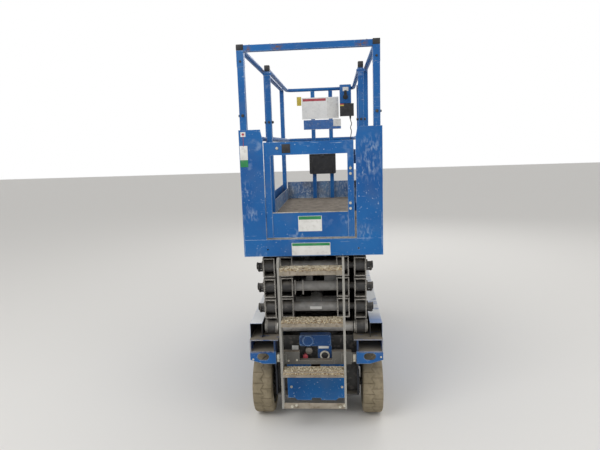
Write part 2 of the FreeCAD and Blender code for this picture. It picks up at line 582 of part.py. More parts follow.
def arm(name, across, way, ears, pierced):
    """One hollow scissor arm with bosses at its pins, laid along Y from its first pin.

    way is 1 for an arm that runs forward and -1 for one that runs back; ears are how far
    the tube goes on past its first and its last pin; pierced says that the bosses are bored.
    """
    reach = ("-(%s)" % ears[0], "arm_length + (%s)" % ears[1])
    if way < 0:
        reach = ("-(%s)" % reach[1], "%s" % ears[0])
    shell = box(name + "_shell", across, reach, ("-arm_deep / 2", "arm_deep / 2"))
    inside = box(name + "_inside", (across[0] + " + arm_wall", across[1] + " - arm_wall"),
                 (reach[0] + " - 1", reach[1] + " + 1"),
                 ("arm_wall - arm_deep / 2", "arm_deep / 2 - arm_wall"))
    tube = cut(name + "_tube", shell, inside)
    stops = ["%d * arm_length * %s" % (way, share) for share in ("0", "0.5", "1")]
    bosses = [rod("%s_boss_%d" % (name, row), "x", "boss_radius", across, (stop, "0"))
              for row, stop in enumerate(stops)]
    whole = fuse(name + "_whole", tube, *bosses)
    if not pierced:
        return whole
    bores = [rod("%s_bore_%d" % (name, row), "x", "pin_radius + gap",
                 (across[0] + " - 5", across[1] + " + 5"), (stop, "0"))
             for row, stop in enumerate(stops)]
    return cut(name + "_bored", whole, *bores)


def along(item, way, level):
    """Lay an arm or what is on it from its first pin, at its tilt when lowered."""
    turn(item, (1, 0, 0), "rest_tilt * %d" % way)
    return place(item, y="-pin_y * %d" % way, z="stack_low + level_pitch * %d" % (level - 1))


def cross_tube(name, spot, radius, bore=None):
    """Half of a tube across the machine, on an inner arm, its twin closes it."""
    outer = rod(name, "x", radius, ("0", "inner_in"), (spot, "0"))
    if bore is None:
        return outer
    return cut(name + "_bored", outer, rod(name + "_bore", "x", bore, ("-5", "inner_in + 5"),
                                           (spot, "0")))


inner_across = ("inner_in", "inner_out")
outer_across = ("outer_in", "outer_out")
LEVELS = 4
roller_low = box("roller_clear_low", ("outer_in - 5", "outer_out + 5"), ("-pin_y - 100", "0"),
                 ("beam_top - arm_deep", "beam_top + sheet_steel + move_gap"))
track_face = "deck_top - plate_thick - track_thick"
for level in range(1, LEVELS + 1):
    # Inner arms run back and up from the front pin, outer arms forward and up from the rear one
    first, last = level == 1, level == LEVELS
    inner_ears = ("arm_ear", "0" if last else "arm_ear")
    inner = arm("inner_%d" % level, inner_across, -1, inner_ears, True)
    tubes = []
    if first:
        tubes.append(cross_tube("front_brace", "-brace_from_pin", "tube_radius"))
        tubes.append(cross_tube("foot_tube", "-foot_pivot", "tube_radius"))
    else:
        tubes.append(cross_tube("inner_front_tube_%d" % level, "0", "tube_radius", "pin_radius + gap"))
    if level == 3:
        tubes.append(cross_tube("head_tube", "-head_pivot", "tube_radius"))
    if not last:
        tubes.append(cross_tube("inner_rear_tube_%d" % level, "-arm_length", "tube_radius",
                                "pin_radius + gap"))
    half = along(fuse("inner_half_%d" % level, inner, *tubes), -1, level)
    if last:
        roof = box("roller_clear_top", ("inner_in - 5", "inner_out + 5"), ("-pin_y - 100", "0"),
                   (track_face + " - move_gap", "deck_top + arm_deep"))
        half = fuse("inner_half_rolling", cut("inner_half_trimmed", half, roof),
                    rod("top_roller", "x", "%s - gap - stack_low - level_pitch * %d" % (track_face, LEVELS),
                        ("inner_in + 8", "inner_out - 8"), ("-pin_y", "stack_low + level_pitch * 4")),
                    rod("top_axle", "x", "pin_radius", ("0", "inner_out"),
                        ("-pin_y", "stack_low + level_pitch * 4")))
    node("inner_arms_%d" % level, pair("inner_%d" % level, half))

    outer_ears = ("0" if first else "arm_ear", "0" if last else "arm_ear")
    outer = arm("outer_%d" % level, outer_across, 1, outer_ears, False)
    shafts = [rod("outer_rear_shaft_%d" % level, "x", "pin_radius",
                  ("0", "end_reach" if first else "pin_reach"), ("0", "0")),
              rod("outer_front_shaft_%d" % level, "x", "pin_radius",
                  ("0", "end_reach" if last else "pin_reach"), ("arm_length", "0")),
              rod("outer_centre_pin_%d" % level, "x", "pin_radius",
                  ("inner_in - 6", "end_reach"), ("arm_length / 2", "0"))]
    if first:
        shafts.append(rod("outer_rear_tube", "x", "tube_radius", ("0", "outer_in"), ("0", "0")))
    half = along(fuse("outer_half_%d" % level, outer, *shafts), 1, level)
    if first:
        half = fuse("outer_half_rolling", cut("outer_half_trimmed", half, roller_low),
                    rod("low_roller", "x", "stack_low - beam_top - sheet_steel - gap",
                        ("outer_in + 8", "outer_out - 8"), ("-pin_y", "stack_low")))
    if last:
        roof = box("hinge_clear_top", ("outer_in - 5", "outer_out + 5"), ("0", "pin_y + 100"),
                   (track_face + " - move_gap", "deck_top + arm_deep"))
        half = cut("outer_half_hinged", half, roof)
    node("outer_arms_%d" % level, pair("outer_%d" % level, half))


def on_lift(item):
    """Lay a piece of the lift cylinder along the line between its two pivots."""
    turn(item, (1, 0, 0), "lift_tilt")
    return place(item, y="foot_y", z="foot_z")


# Lift cylinder, from a tube of the lowest inner arms to one of the third
eye_x = ("-eye_half", "eye_half")
barrel_solid = fuse("barrel_solid", rod("barrel_skin", "y", "barrel_radius",
                                        ("eye_radius - 10", "lift_reach - barrel_mouth"), ("0", "0")),
                    rod("barrel_eye", "x", "eye_radius", eye_x, ("0", "0")))
barrel_bore = rod("barrel_bore", "y", "bore_radius",
                  ("eye_radius + gland_thick", "lift_reach - barrel_mouth - gland_thick"), ("0", "0"))
gland_bore = rod("gland_bore", "y", "rod_radius + gap",
                 ("lift_reach / 2", "lift_reach"), ("0", "0"))
foot_bore = rod("foot_bore", "x", "tube_radius + gap", ("-eye_half - 5", "eye_half + 5"), ("0", "0"))
node("lift_barrel", on_lift(cut("barrel", barrel_solid, barrel_bore, gland_bore, foot_bore)))
rod_solid = fuse("rod_solid", rod("rod_shaft", "y", "rod_radius",
                                  ("rod_tail", "lift_reach - tube_radius - 5"), ("0", "0")),
                 rod("piston", "y", "bore_radius - gap", ("rod_tail", "rod_tail + piston_thick"),
                     ("0", "0")),
                 rod("rod_eye", "x", "rod_eye", eye_x, ("lift_reach", "0")))
head_bore = rod("head_bore", "x", "tube_radius + gap", ("-eye_half - 5", "eye_half + 5"),
                ("lift_reach", "0"))
# The rod's eye is a cup under its tube, open along the way on which the tube leaves it
cup_edge = "((tube_radius + gap + move_gap) / cos(cup_wrap))"
cup_corner = ("lift_reach - %s * cos(cup_turn + cup_wrap)" % cup_edge,
              "-%s * sin(cup_turn + cup_wrap)" % cup_edge)
mouth_outline = [("lift_reach", "0"), cup_corner,
                 ("%s - eye_radius * 3 * sin(cup_turn)" % cup_corner[0],
                  "%s + eye_radius * 3 * cos(cup_turn)" % cup_corner[1]),
                 ("lift_reach + eye_radius", "eye_radius * 3"), ("lift_reach + eye_radius", "0")]
mouth = plate("rod_mouth", "YZ", mouth_outline, "-eye_half - 5", "eye_half + 5")
node("lift_rod", on_lift(cut("rod", rod_solid, head_bore, mouth)))

# Platform: floor with its roller tracks, tall side panels, fascias and hinge brackets
skin_in = "half_wide - sheet_steel"
floor_low = "deck_top - plate_thick"
tracks = box("track", ("track_in", "track_out"), ("track_short - chassis_end", "track_front"), (track_face, floor_low))
deck_sheet = fuse(
    "platform_deck", box("deck_sheet", ("sheet_steel - half_wide", skin_in),
                         ("sheet_steel - chassis_end", "chassis_end - sheet_steel"), (floor_low, "deck_top")),
    tracks, mirror("track_left", tracks))
side = fuse("platform_side",
            box("side_skin", (skin_in, "half_wide"), ("-chassis_end", "chassis_end"),
                ("fascia_low", "toe_top")),
            box("side_flange", ("half_wide - sheet_steel - flange_wide", skin_in),
                ("sheet_steel - chassis_end", "chassis_end - sheet_steel"),
                ("fascia_low", "fascia_low + thin_sheet")))
node("platform_sides", pair("side", side))
fascia_x = ("sheet_steel - half_wide", skin_in)
rear_sheet = box("rear_sheet", fascia_x, ("-chassis_end", "sheet_steel - chassis_end"),
                 ("fascia_low", "deck_top"))
rear_hole = rod("rear_hole", "y", "hole_radius", ("-chassis_end - 5", "sheet_steel - chassis_end + 5"),
                ("half_wide - hole_from_edge", "fascia_low + hole_up"))
front_sheet = box("front_sheet", fascia_x, ("chassis_end - sheet_steel", "chassis_end"),
                  ("fascia_low", "deck_top"))
node("fascias", fuse("fascia_sheets", front_sheet, cut(
    "rear_fascia", rear_sheet, rear_hole, mirror("rear_hole_left", rear_hole))))
hanger_outline = [("pin_y - bracket_half", floor_low), ("pin_y - boss_radius", "fascia_low + 4"),
                  ("pin_y + boss_radius", "fascia_low + 4"), ("pin_y + bracket_half", floor_low)]
hinge_ear = cut("hinge_ear", plate("hinge_ear_side", "YZ", hanger_outline, "bracket_in",
                                   "bracket_in + bracket_thick"),
                rod("hinge_ear_bore", "x", "pin_radius + gap", ("bracket_in - 5", "bracket_in + 30"),
                    ("pin_y", "stack_low + level_pitch * 4")))
node("platform_floor", fuse("platform_base", deck_sheet, pair("hinge_ear", hinge_ear)))

# Corner sheets beside the gate, each with a short return along the side
sheets = []
for word, way, inner_edge in (("right", "", "panel_right"), ("left", "-", "panel_gap - gate_left")):
    outline = [("%s(%s)" % (way, inner_edge), "deck_top"), (way + "(half_wide - sheet_steel)", "deck_top"),
               (way + "(half_wide - sheet_steel)", "corner_top"),
               ("%s(%s + corner_slope)" % (way, inner_edge), "corner_top"),
               ("%s(%s)" % (way, inner_edge), "corner_top - corner_clip")]
    flat = plate("corner_%s" % word, "XZ", outline, "-chassis_end", "thin_sheet - chassis_end")
    span = ("half_wide - sheet_steel", "half_wide")
    if way:
        span = ("-half_wide", "sheet_steel - half_wide")
    side_strip = box("corner_return_%s" % word, span, ("-chassis_end", "corner_return - chassis_end"),
                     ("toe_top", "corner_top"))
    sheets.append(fuse("corner_sheet_%s" % word, flat, side_strip))
leaves = []
for row, low in enumerate(("gate_kick + knuckle_high + gap",
                           "gate_top - gate_bar - knuckle_drop + knuckle_high + gap")):
    leaf = box("leaf_%d" % row, ("gate_pivot_x", "panel_right + leaf_past"),
               ("thin_sheet - chassis_end", "gate_pivot_y"), (low, low + " + leaf_high"))
    pivot = rod("leaf_pivot_%d" % row, "z", "hinge_radius", (low, low + " + leaf_high"),
                ("gate_pivot_x", "gate_pivot_y"))
    leaves.append(fuse("leaf_whole_%d" % row, leaf, pivot))
node("corner_panels", fuse("corner_sheets", *sheets, *leaves))

# Guard rails round the platform: square posts, round rails between them
half_post = "post_wide / 2"
rear_post_y = "thin_sheet - chassis_end + " + half_post
post_rows = [rear_post_y, "main_mid_post", "main_front_post"]


def post(name, x, y, low, high):
    """A square post on its centre line."""
    return box(name, ("%s - %s" % (x, half_post), "%s + %s" % (x, half_post)),
               ("%s - %s" % (y, half_post), "%s + %s" % (y, half_post)), (low, high))


node("main_posts", pair("main_post", fuse("main_posts_right", *[
    post("main_post_%d" % row, "post_centre", y, "deck_top", "post_top")
    for row, y in enumerate(post_rows)])))
spans = []
for row, (start, end) in enumerate(zip(post_rows, post_rows[1:])):
    for word, high in (("top", "rail_centre - 4"), ("mid", "mid_rail")):
        spans.append(rod("side_%s_rail_%d" % (word, row), "y", "rail_radius",
                         ("%s + %s" % (start, half_post), "%s - %s" % (end, half_post)),
                         ("post_centre", high)))
rear_rail = box("rear_rail", ("%s - post_centre" % half_post, "post_centre - " + half_post),
                ("%s - %s + 1" % (rear_post_y, half_post), "%s + %s - 1" % (rear_post_y, half_post)),
                ("rail_centre - 20", "rail_centre + 14"))
node("main_rails", fuse("all_main_rails", pair("main_rail", fuse("main_rails_right", *spans)), rear_rail))

# Gate: a frame with a kick sheet, hung on the right corner sheet
gate_y = ("gate_back", "gate_back + gate_deep")
gate_out = box("gate_blank", ("gate_left", "gate_right"), gate_y, ("gate_low", "gate_top"))
gate_window = box("gate_window", ("gate_left + gate_stile", "gate_right - gate_stile"),
                  ("gate_back - 5", "gate_back + gate_deep + 5"), ("gate_low - 5", "gate_top - gate_bar"))
knuckle_rows = ("gate_kick", "gate_top - gate_bar - knuckle_drop")
knuckles = [rod("gate_knuckle_%d" % row, "z", "hinge_radius", (low, low + " + knuckle_high"),
                ("gate_pivot_x", "gate_pivot_y")) for row, low in enumerate(knuckle_rows)]
flaps = [box("gate_flap_%d" % row, ("gate_right - thin_sheet", "gate_pivot_x"),
             ("gate_back + gate_deep - pivot_gap", "gate_pivot_y + pivot_gap"), (low, low + " + knuckle_high"))
         for row, low in enumerate(knuckle_rows)]
kick = box("gate_kick_plate", ("gate_left + gate_stile", "gate_right - gate_stile"),
           ("gate_back + thin_sheet", "gate_back + thin_sheet * 2"), ("gate_low", "gate_kick"))
node("gate", fuse("gate_whole", cut("gate_open", gate_out, gate_window), kick, *knuckles, *flaps))

# Roll-out deck with its own posts, rails and toe boards
deck_over = "deck_top + gap"
out_top = "deck_top + gap + out_thick"
out_sheet = box("out_sheet", ("-out_half", "out_half"), ("out_rear", "out_front"), (deck_over, out_top))
inner_post = "out_post_x - %s - panel_margin" % half_post
tread_panel = box("tread_panel", ("-(%s)" % inner_post, inner_post),
                  ("out_rear + panel_margin", "out_rail_y - %s - panel_margin" % half_post),
                  (out_top, out_top + " + panel_rise"))
node("out_deck", fuse("out_deck_plates", out_sheet, tread_panel))
post_top = "out_top_rail - rail_radius"
rear_posts = pair("out_rear_posts", post("out_rear_post", "out_post_x", "out_post_y", out_top, post_top))
front_posts = [post("out_front_post_left", "front_post_left", "out_rail_y", out_top, post_top),
               post("out_front_post_right", "front_post_right", "out_rail_y", out_top, post_top)]
node("out_posts", fuse("out_all_posts", rear_posts, *front_posts))


def bent_rail(name, half, length, bend, radius):
    """A round tube bent into a U: two legs along Y and a crosspiece between them."""
    body = doc.addObject("PartDesign::Body", name)
    ring = sketch_on(body, "XZ", name + "_section")
    ring.addGeometry(Part.Circle(FreeCAD.Vector(number("-" + half), 0, 0), FreeCAD.Vector(0, 0, 1),
                                 number(radius)))
    fix_point(ring, 0, 3, ("-" + half, "0"))
    row = ring.addConstraint(Sketcher.Constraint("Radius", 0, number(radius)))
    ring.setExpression("Constraints[%d]" % row, bound(radius))
    path = sketch_on(body, "XY", name + "_path")
    h, l, b = half, length, bend
    runs = [(("-" + h, "0"), ("-" + h, "%s - %s" % (l, b))),
            (("%s - %s" % (b, h), l), ("%s - %s" % (h, b), l)),
            ((h, "%s - %s" % (l, b)), (h, "0"))]
    turns = [("%s - %s" % (b, h), "%s - %s" % (l, b), 90, 180), ("%s - %s" % (h, b), "%s - %s" % (l, b), 0, 90)]
    for start, end in runs:
        path.addGeometry(Part.LineSegment(vector(start), vector(end)))
    for x, y, low, high in turns:
        centre = vector((x, y))
        circle = Part.Circle(centre, FreeCAD.Vector(0, 0, 1), number(b))
        path.addGeometry(Part.ArcOfCircle(circle, math.radians(low), math.radians(high)))
    for edge, (start, end) in enumerate(runs):
        fix_point(path, edge, 1, start)
        fix_point(path, edge, 2, end)
    for arc, joints in ((3, ((2, 0, 2), (1, 1, 1))), (4, ((2, 1, 2), (1, 2, 1)))):
        for own, edge, end in joints:
            path.addConstraint(Sketcher.Constraint("Coincident", arc, own, edge, end))
        row = path.addConstraint(Sketcher.Constraint("Radius", arc, number(b)))
        path.setExpression("Constraints[%d]" % row, bound(b))
    pipe = body.newObject("PartDesign::AdditivePipe", name + "_pipe")
    pipe.Profile = ring
    pipe.Spine = path
    return body


rail_run = ("out_post_x", "(out_rail_y - out_post_y)", "out_bend", "rail_radius")
node("out_top_rail", place(bent_rail("top_tube", *rail_run), y="out_post_y", z="out_top_rail"))
mid_tube = place(bent_rail("mid_tube", *rail_run), y="out_post_y", z="mid_rail")
node("out_mid_rails", cut("mid_tube_fitted", mid_tube, rear_posts, *front_posts))
toe_front = box("toe_front", ("-out_half", "out_half"), ("out_front - thin_sheet", "out_front"),
                (out_top, "out_toe_top"))
toe_side = box("toe_side", ("out_half - thin_sheet", "out_half"), ("out_rear", "out_front - thin_sheet"),
               (out_top, "toe_side_top"))
node("out_toe_boards", fuse("out_toes", toe_front, pair("toe_side", toe_side)))

# Controls, boards and the box for papers, on the front rail and its two middle posts
board_y = ("out_rail_y - %s - thin_sheet" % half_post, "out_rail_y - " + half_post)
box_back_y = "out_rail_y - box_back"
control = round_edges("control_round", box(
    "control_blank", ("box_x - box_wide / 2", "box_x + box_wide / 2"), (box_back_y + " - box_deep", box_back_y),
    ("box_low", "box_high")), "z", "box_round")
box_face = box_back_y + " - box_deep"
stick_z = "box_high - stick_drop"
stick = fuse("stick",
             rod("stick_boot", "y", "boot_radius", (box_face + " - boot_long", box_face), ("box_x", stick_z)),
             rod("stick_stem", "y", "boot_radius / 3", (box_face + " - boot_long * 3", box_face), ("box_x", stick_z)),
             rod("stick_grip", "z", "grip_radius", (stick_z + " - boot_radius", stick_z + " + grip_high"),
                 ("box_x", box_face + " - boot_long * 3")))
lug = box("control_lug", ("box_x - lug_half", "box_x + lug_half"), (box_back_y, "out_rail_y - rail_radius"),
          ("out_top_rail - rail_radius / 2", "out_top_rail + rail_radius / 2"))
node("control_box", fuse("control", control, stick, lug))
module_y = (board_y[0] + " - module_deep", board_y[0])
module = box("module_case", ("module_left", "module_right"), module_y, ("module_low", "box_low - gap"))
lead_gland = rod("lead_gland", "z", "gland_radius", ("module_low - gland_long", "module_low"),
                 ("gland_x", "gland_y"))
node("control_module", fuse("module", module, lead_gland))
board = box("board_sheet", ("board_left", "board_right"), board_y, ("board_low", "board_high"))
strip = box("strip_sheet", ("strip_left", "strip_right"), board_y, ("strip_low", "strip_high"))
node("notice_boards", fuse("boards", board, strip))
manual_y = ("out_rail_y - %s - manual_deep" % half_post, "out_rail_y - " + half_post)
node("manual_box", round_edges("manual_round", box(
    "manual_blank", ("manual_left", "manual_right"), manual_y, ("manual_low", "manual_high")), "y", "manual_round"))

# Lead of the controls, from its gland down to a socket on the front toe board
socket_back = "out_front - thin_sheet"
node("lead_socket", box("socket", ("socket_x - socket_half", "socket_x + socket_half"),
                        (socket_back + " - socket_deep", socket_back), ("socket_low", "socket_high")))
# Its bends, across and back from the gland and up from the deck
BENDS = [(0, 0, 765), (15, 3, 732), (-3, -3, 698), (11, -1, 662), (2, -2, 621), (-1, -10, 576),
         (5, -9, 527), (19, -2, 477), (11, 5, 427), (24, 1, 373), (13, -4, 318), (21, 5, 267)]
over_socket = ("socket_x", socket_back + " - socket_deep / 2")
lead_route = [("gland_x", "gland_y", "module_low - gland_long")] + [
    ("gland_x + %d" % x, "gland_y + %d" % y, "deck_top + %d" % z) for x, y, z in BENDS] + [
    over_socket + ("socket_high + socket_tall + lead_radius / 2",), over_socket + ("socket_high",)]


def lead_tube(points, thick):
    """A tube along straight runs joined by arcs as wide as the runs beside them allow."""
    spots = [FreeCAD.Vector(*[number(value) for value in point]) for point in points]
    edges, here, length = [], spots[0], 0
    for before, spot, after in zip(spots, spots[1:], spots[2:]):
        back, on = (before - spot).normalize(), (after - spot).normalize()
        half_turn = (math.pi - back.getAngle(on)) / 2
        reach = 0.45 * min((before - spot).Length, (after - spot).Length)
        radius = reach / math.tan(half_turn)
        middle = spot + (back + on).normalize() * (radius / math.cos(half_turn) - radius)
        edges.append(Part.LineSegment(here, spot + back * reach).toShape())
        edges.append(Part.Arc(spot + back * reach, middle, spot + on * reach).toShape())
        here = spot + on * reach
        print("lead radius", round(radius, 1))
    edges.append(Part.LineSegment(here, spots[-1]).toShape())
    path = Part.Wire(edges)
    ring = Part.Wire(Part.Circle(spots[0], spots[1] - spots[0], number(thick)).toShape())
    tube = path.makePipeShell([ring], True, False)
    expected = math.pi * number(thick) ** 2 * path.Length
    print("lead length", round(path.Length, 1), "volume share", round(tube.Volume / expected, 4))
    return tube


lead = doc.addObject("Part::Feature", "lead")
lead.Shape = lead_tube(lead_route, "lead_radius")
node("control_lead", lead)

doc.recompute()
for item in doc.Objects:
    if set(item.State) & {"Invalid", "Error"}:
        raise RuntimeError("failed: " + item.Name)
for label, item in NODES.items():
    if item.Shape.isNull() or not item.Shape.isValid() or item.Shape.Volume <= 0:
        raise RuntimeError("no good shape: " + label)
os.makedirs("parts", exist_ok=True)
for label, item in NODES.items():
    item.Shape.exportStep("parts/%s.step" % label)
    print(label, len(item.Shape.Solids), round(item.Shape.Volume / 1e6, 3))
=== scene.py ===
"""The looks of a slab scissor lift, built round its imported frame."""
import json
from math import atan2, cos, pi, radians, sin

import bmesh
import bpy
from mathutils import Matrix, Vector, noise


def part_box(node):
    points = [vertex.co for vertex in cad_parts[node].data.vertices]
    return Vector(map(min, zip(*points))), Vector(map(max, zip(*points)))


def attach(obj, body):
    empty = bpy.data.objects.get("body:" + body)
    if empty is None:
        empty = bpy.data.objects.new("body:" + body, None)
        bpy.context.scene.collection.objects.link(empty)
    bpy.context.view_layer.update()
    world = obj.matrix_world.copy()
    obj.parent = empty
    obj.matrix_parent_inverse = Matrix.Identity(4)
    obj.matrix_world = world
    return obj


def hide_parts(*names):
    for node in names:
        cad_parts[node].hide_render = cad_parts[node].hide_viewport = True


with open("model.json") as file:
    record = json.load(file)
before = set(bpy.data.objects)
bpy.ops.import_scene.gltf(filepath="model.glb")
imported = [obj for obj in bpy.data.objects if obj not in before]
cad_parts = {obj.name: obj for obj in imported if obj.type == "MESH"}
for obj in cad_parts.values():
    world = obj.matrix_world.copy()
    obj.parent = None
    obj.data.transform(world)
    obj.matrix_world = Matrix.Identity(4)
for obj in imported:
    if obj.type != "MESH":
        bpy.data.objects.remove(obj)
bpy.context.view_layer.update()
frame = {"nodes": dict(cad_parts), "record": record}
scene = bpy.context.scene

# Camera: a phone held at head height four metres behind the ladder, turned a little left
# and down, with a slight lean.  Its place and lens come from the machine's own corners.
EYE = Vector((0.1439, -4.014, 1.7051))
YAW, PITCH, LEAN = 0.0746, 0.1563, -0.0327
FOCAL_SHARE = 505.85 / 600
ahead = Vector((-sin(YAW) * cos(PITCH), cos(YAW) * cos(PITCH), -sin(PITCH)))
level = Vector((cos(YAW), sin(YAW), 0))
above = level.cross(ahead)
right = cos(LEAN) * level + sin(LEAN) * above
top = cos(LEAN) * above - sin(LEAN) * level
lens = bpy.data.cameras.new("camera")
lens.sensor_width = 36
lens.lens = lens.sensor_width * FOCAL_SHARE
camera = bpy.data.objects.new("camera", lens)
camera.matrix_world = Matrix.Translation(EYE) @ Matrix((right, top, -ahead)).transposed().to_4x4()
scene.collection.objects.link(camera)
scene.camera = camera

# Lead of the controls: a thin limp cable that hangs, kinked from years of coiling, from the
# box on the front rail down to a socket on the toe board.  Its points are the route's own.
GLAND = Vector((0.292, 1.045, 1.9597))
DECK = 1.165
SOCKET_TOP = Vector((0.312, 1.099, 1.338))
bends = ((0, 0, 0.765), (0.015, 0.003, 0.732), (-0.003, -0.003, 0.698), (0.011, -0.001, 0.662),
         (0.002, -0.002, 0.621), (-0.001, -0.010, 0.576), (0.005, -0.009, 0.527), (0.019, -0.002, 0.477),
         (0.011, 0.005, 0.427), (0.024, 0.001, 0.373), (0.013, -0.004, 0.318), (0.021, 0.005, 0.267))
route = [GLAND] + [Vector((GLAND.x + x, GLAND.y + y, DECK + z)) for x, y, z in bends]
route += [SOCKET_TOP + Vector((0, 0, 0.050)), SOCKET_TOP]
wire = bpy.data.curves.new("control_cable", "CURVE")
wire.dimensions = "3D"
wire.bevel_depth = 1.0
wire.bevel_resolution = 4
wire.use_fill_caps = True
spline = wire.splines.new("NURBS")
spline.points.add(len(route) - 1)
for point, spot in zip(spline.points, route):
    point.co = (*spot, 1)
    point.radius = 0.004
spline.order_u = 3
spline.use_endpoint_u = True
cable = bpy.data.objects.new("control_cable", wire)
scene.collection.objects.link(cable)
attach(cable, "roll_out_deck")
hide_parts("control_lead")

# Studio: a plain pale floor, a white background and large soft lamps, so that a colour
# shows about as it is written.
scene.view_settings.view_transform = "Standard"


def tone(code):
    """An sRGB hex value as linear colour."""
    parts = [int(code[at:at + 2], 16) / 255 for at in (1, 3, 5)]
    return [part / 12.92 if part <= 0.04045 else ((part + 0.055) / 1.055) ** 2.4 for part in parts] + [1]


def add(tree, kind, links=None, out=0, **settings):
    """Adds a node with its settings; links maps its inputs to values or outputs; gives one output."""
    made = tree.nodes.new("ShaderNode" + kind)
    for name, value in settings.items():
        setattr(made, name, value)
    for name, value in (links or {}).items():
        if isinstance(value, bpy.types.NodeSocket):
            tree.links.new(value, made.inputs[name])
        else:
            made.inputs[name].default_value = value
    return made.outputs[out] if made.outputs else None


studio = bpy.data.worlds.new("studio")
scene.world = studio
studio.use_nodes = True
tree = studio.node_tree
tree.nodes.clear()
seen = add(tree, "LightPath", out="Is Camera Ray")
for ray in ("Is Glossy Ray", "Is Transmission Ray"):
    seen = add(tree, "Math", {0: seen, 1: add(tree, "LightPath", out=ray)}, operation="MAXIMUM")
strength = add(tree, "MapRange", {"Value": seen, "To Min": 0.62, "To Max": 1.0})
sky = add(tree, "Background", {"Color": tone("#FFFFFF"), "Strength": strength})
add(tree, "OutputWorld", {"Surface": sky})
for name, place, aim, size, power in (
        ("key_lamp", (-3.4, -4.6, 5.2), (0, 0, 1.0), 3.4, 150),
        ("fill_lamp", (4.2, -3.6, 3.0), (0, 0, 1.0), 3.0, 52),
        ("back_lamp", (1.5, 5.0, 4.6), (0, 0, 1.2), 3.4, 80)):
    lamp = bpy.data.lights.new(name, "AREA")
    lamp.size = size
    lamp.energy = power
    holder = bpy.data.objects.new(name, lamp)
    holder.matrix_world = Matrix.Translation(place) @ (
        (Vector(aim) - Vector(place)).to_track_quat("-Z", "Y").to_matrix().to_4x4())
    scene.collection.objects.link(holder)

shop_floor = bpy.data.materials.new("pale_studio_floor")
shop_floor.use_nodes = True
shader = shop_floor.node_tree.nodes["Principled BSDF"]
shader.inputs["Base Color"].default_value = tone("#E4E2DE")
shader.inputs["Roughness"].default_value = 0.85
form = bmesh.new()
bmesh.ops.create_grid(form, x_segments=4, y_segments=4, size=30)
sheet = bpy.data.meshes.new("studio_floor")
form.to_mesh(sheet)
form.free()
sheet.materials.append(shop_floor)
ground = bpy.data.objects.new("studio_floor", sheet)
scene.collection.objects.link(ground)

# Blue enamel on pressed and welded steel: brushed on thick, gone chalky on the faces that
# get handled, rubbed to pale primer and bare metal along every edge, with dust on top.
# A Mix node with OVER lays its second colour over its first.
OVER = {"out": 2, "data_type": "RGBA"}


def canvas(name):
    """An empty material's tree and its object coordinates."""
    made = bpy.data.materials.new(name)
    made.use_nodes = True
    made.node_tree.nodes.clear()
    return made, made.node_tree, add(made.node_tree, "TexCoord", out="Object")


def patches(nodes, spot, size, low, high, most=1.0, detail=4, stretch=None, turn=(0, 0, 0)):
    """A mask in patches size metres wide, or streaks where it is stretched, up to most."""
    if stretch:
        spot = add(nodes, "Mapping", {"Vector": spot, "Scale": stretch, "Rotation": turn})
    cloud = add(nodes, "TexNoise", {"Vector": spot, "Scale": 1 / size, "Detail": detail})
    return add(nodes, "MapRange", {"Value": cloud, "From Min": low, "From Max": high, "To Max": most})


def rims(nodes, width, most):
    """A mask along the outer and inner edges, width metres wide."""
    soft = add(nodes, "Bevel", {"Radius": width}, samples=4)
    match = add(nodes, "VectorMath", {0: soft, 1: add(nodes, "NewGeometry", out="Normal")}, "Value",
                operation="DOT_PRODUCT")
    return add(nodes, "MapRange", {"Value": match, "From Min": 0.995, "From Max": 0.86, "To Max": most})


def lying(nodes, most, low=0.5, high=0.9):
    """A mask on the faces that dust settles on."""
    facing = add(nodes, "SeparateXYZ", {"Vector": add(nodes, "NewGeometry", out="Normal")}, "Z")
    return add(nodes, "MapRange", {"Value": facing, "From Min": low, "From Max": high, "To Max": most})


def around(nodes, spot, place, reach, most):
    """A mask that is strongest at a place and gone reach metres from it."""
    gap = add(nodes, "VectorMath", {0: spot, 1: place}, "Value", operation="DISTANCE")
    return add(nodes, "MapRange", {"Value": gap, "From Min": reach, "From Max": 0, "To Max": most})


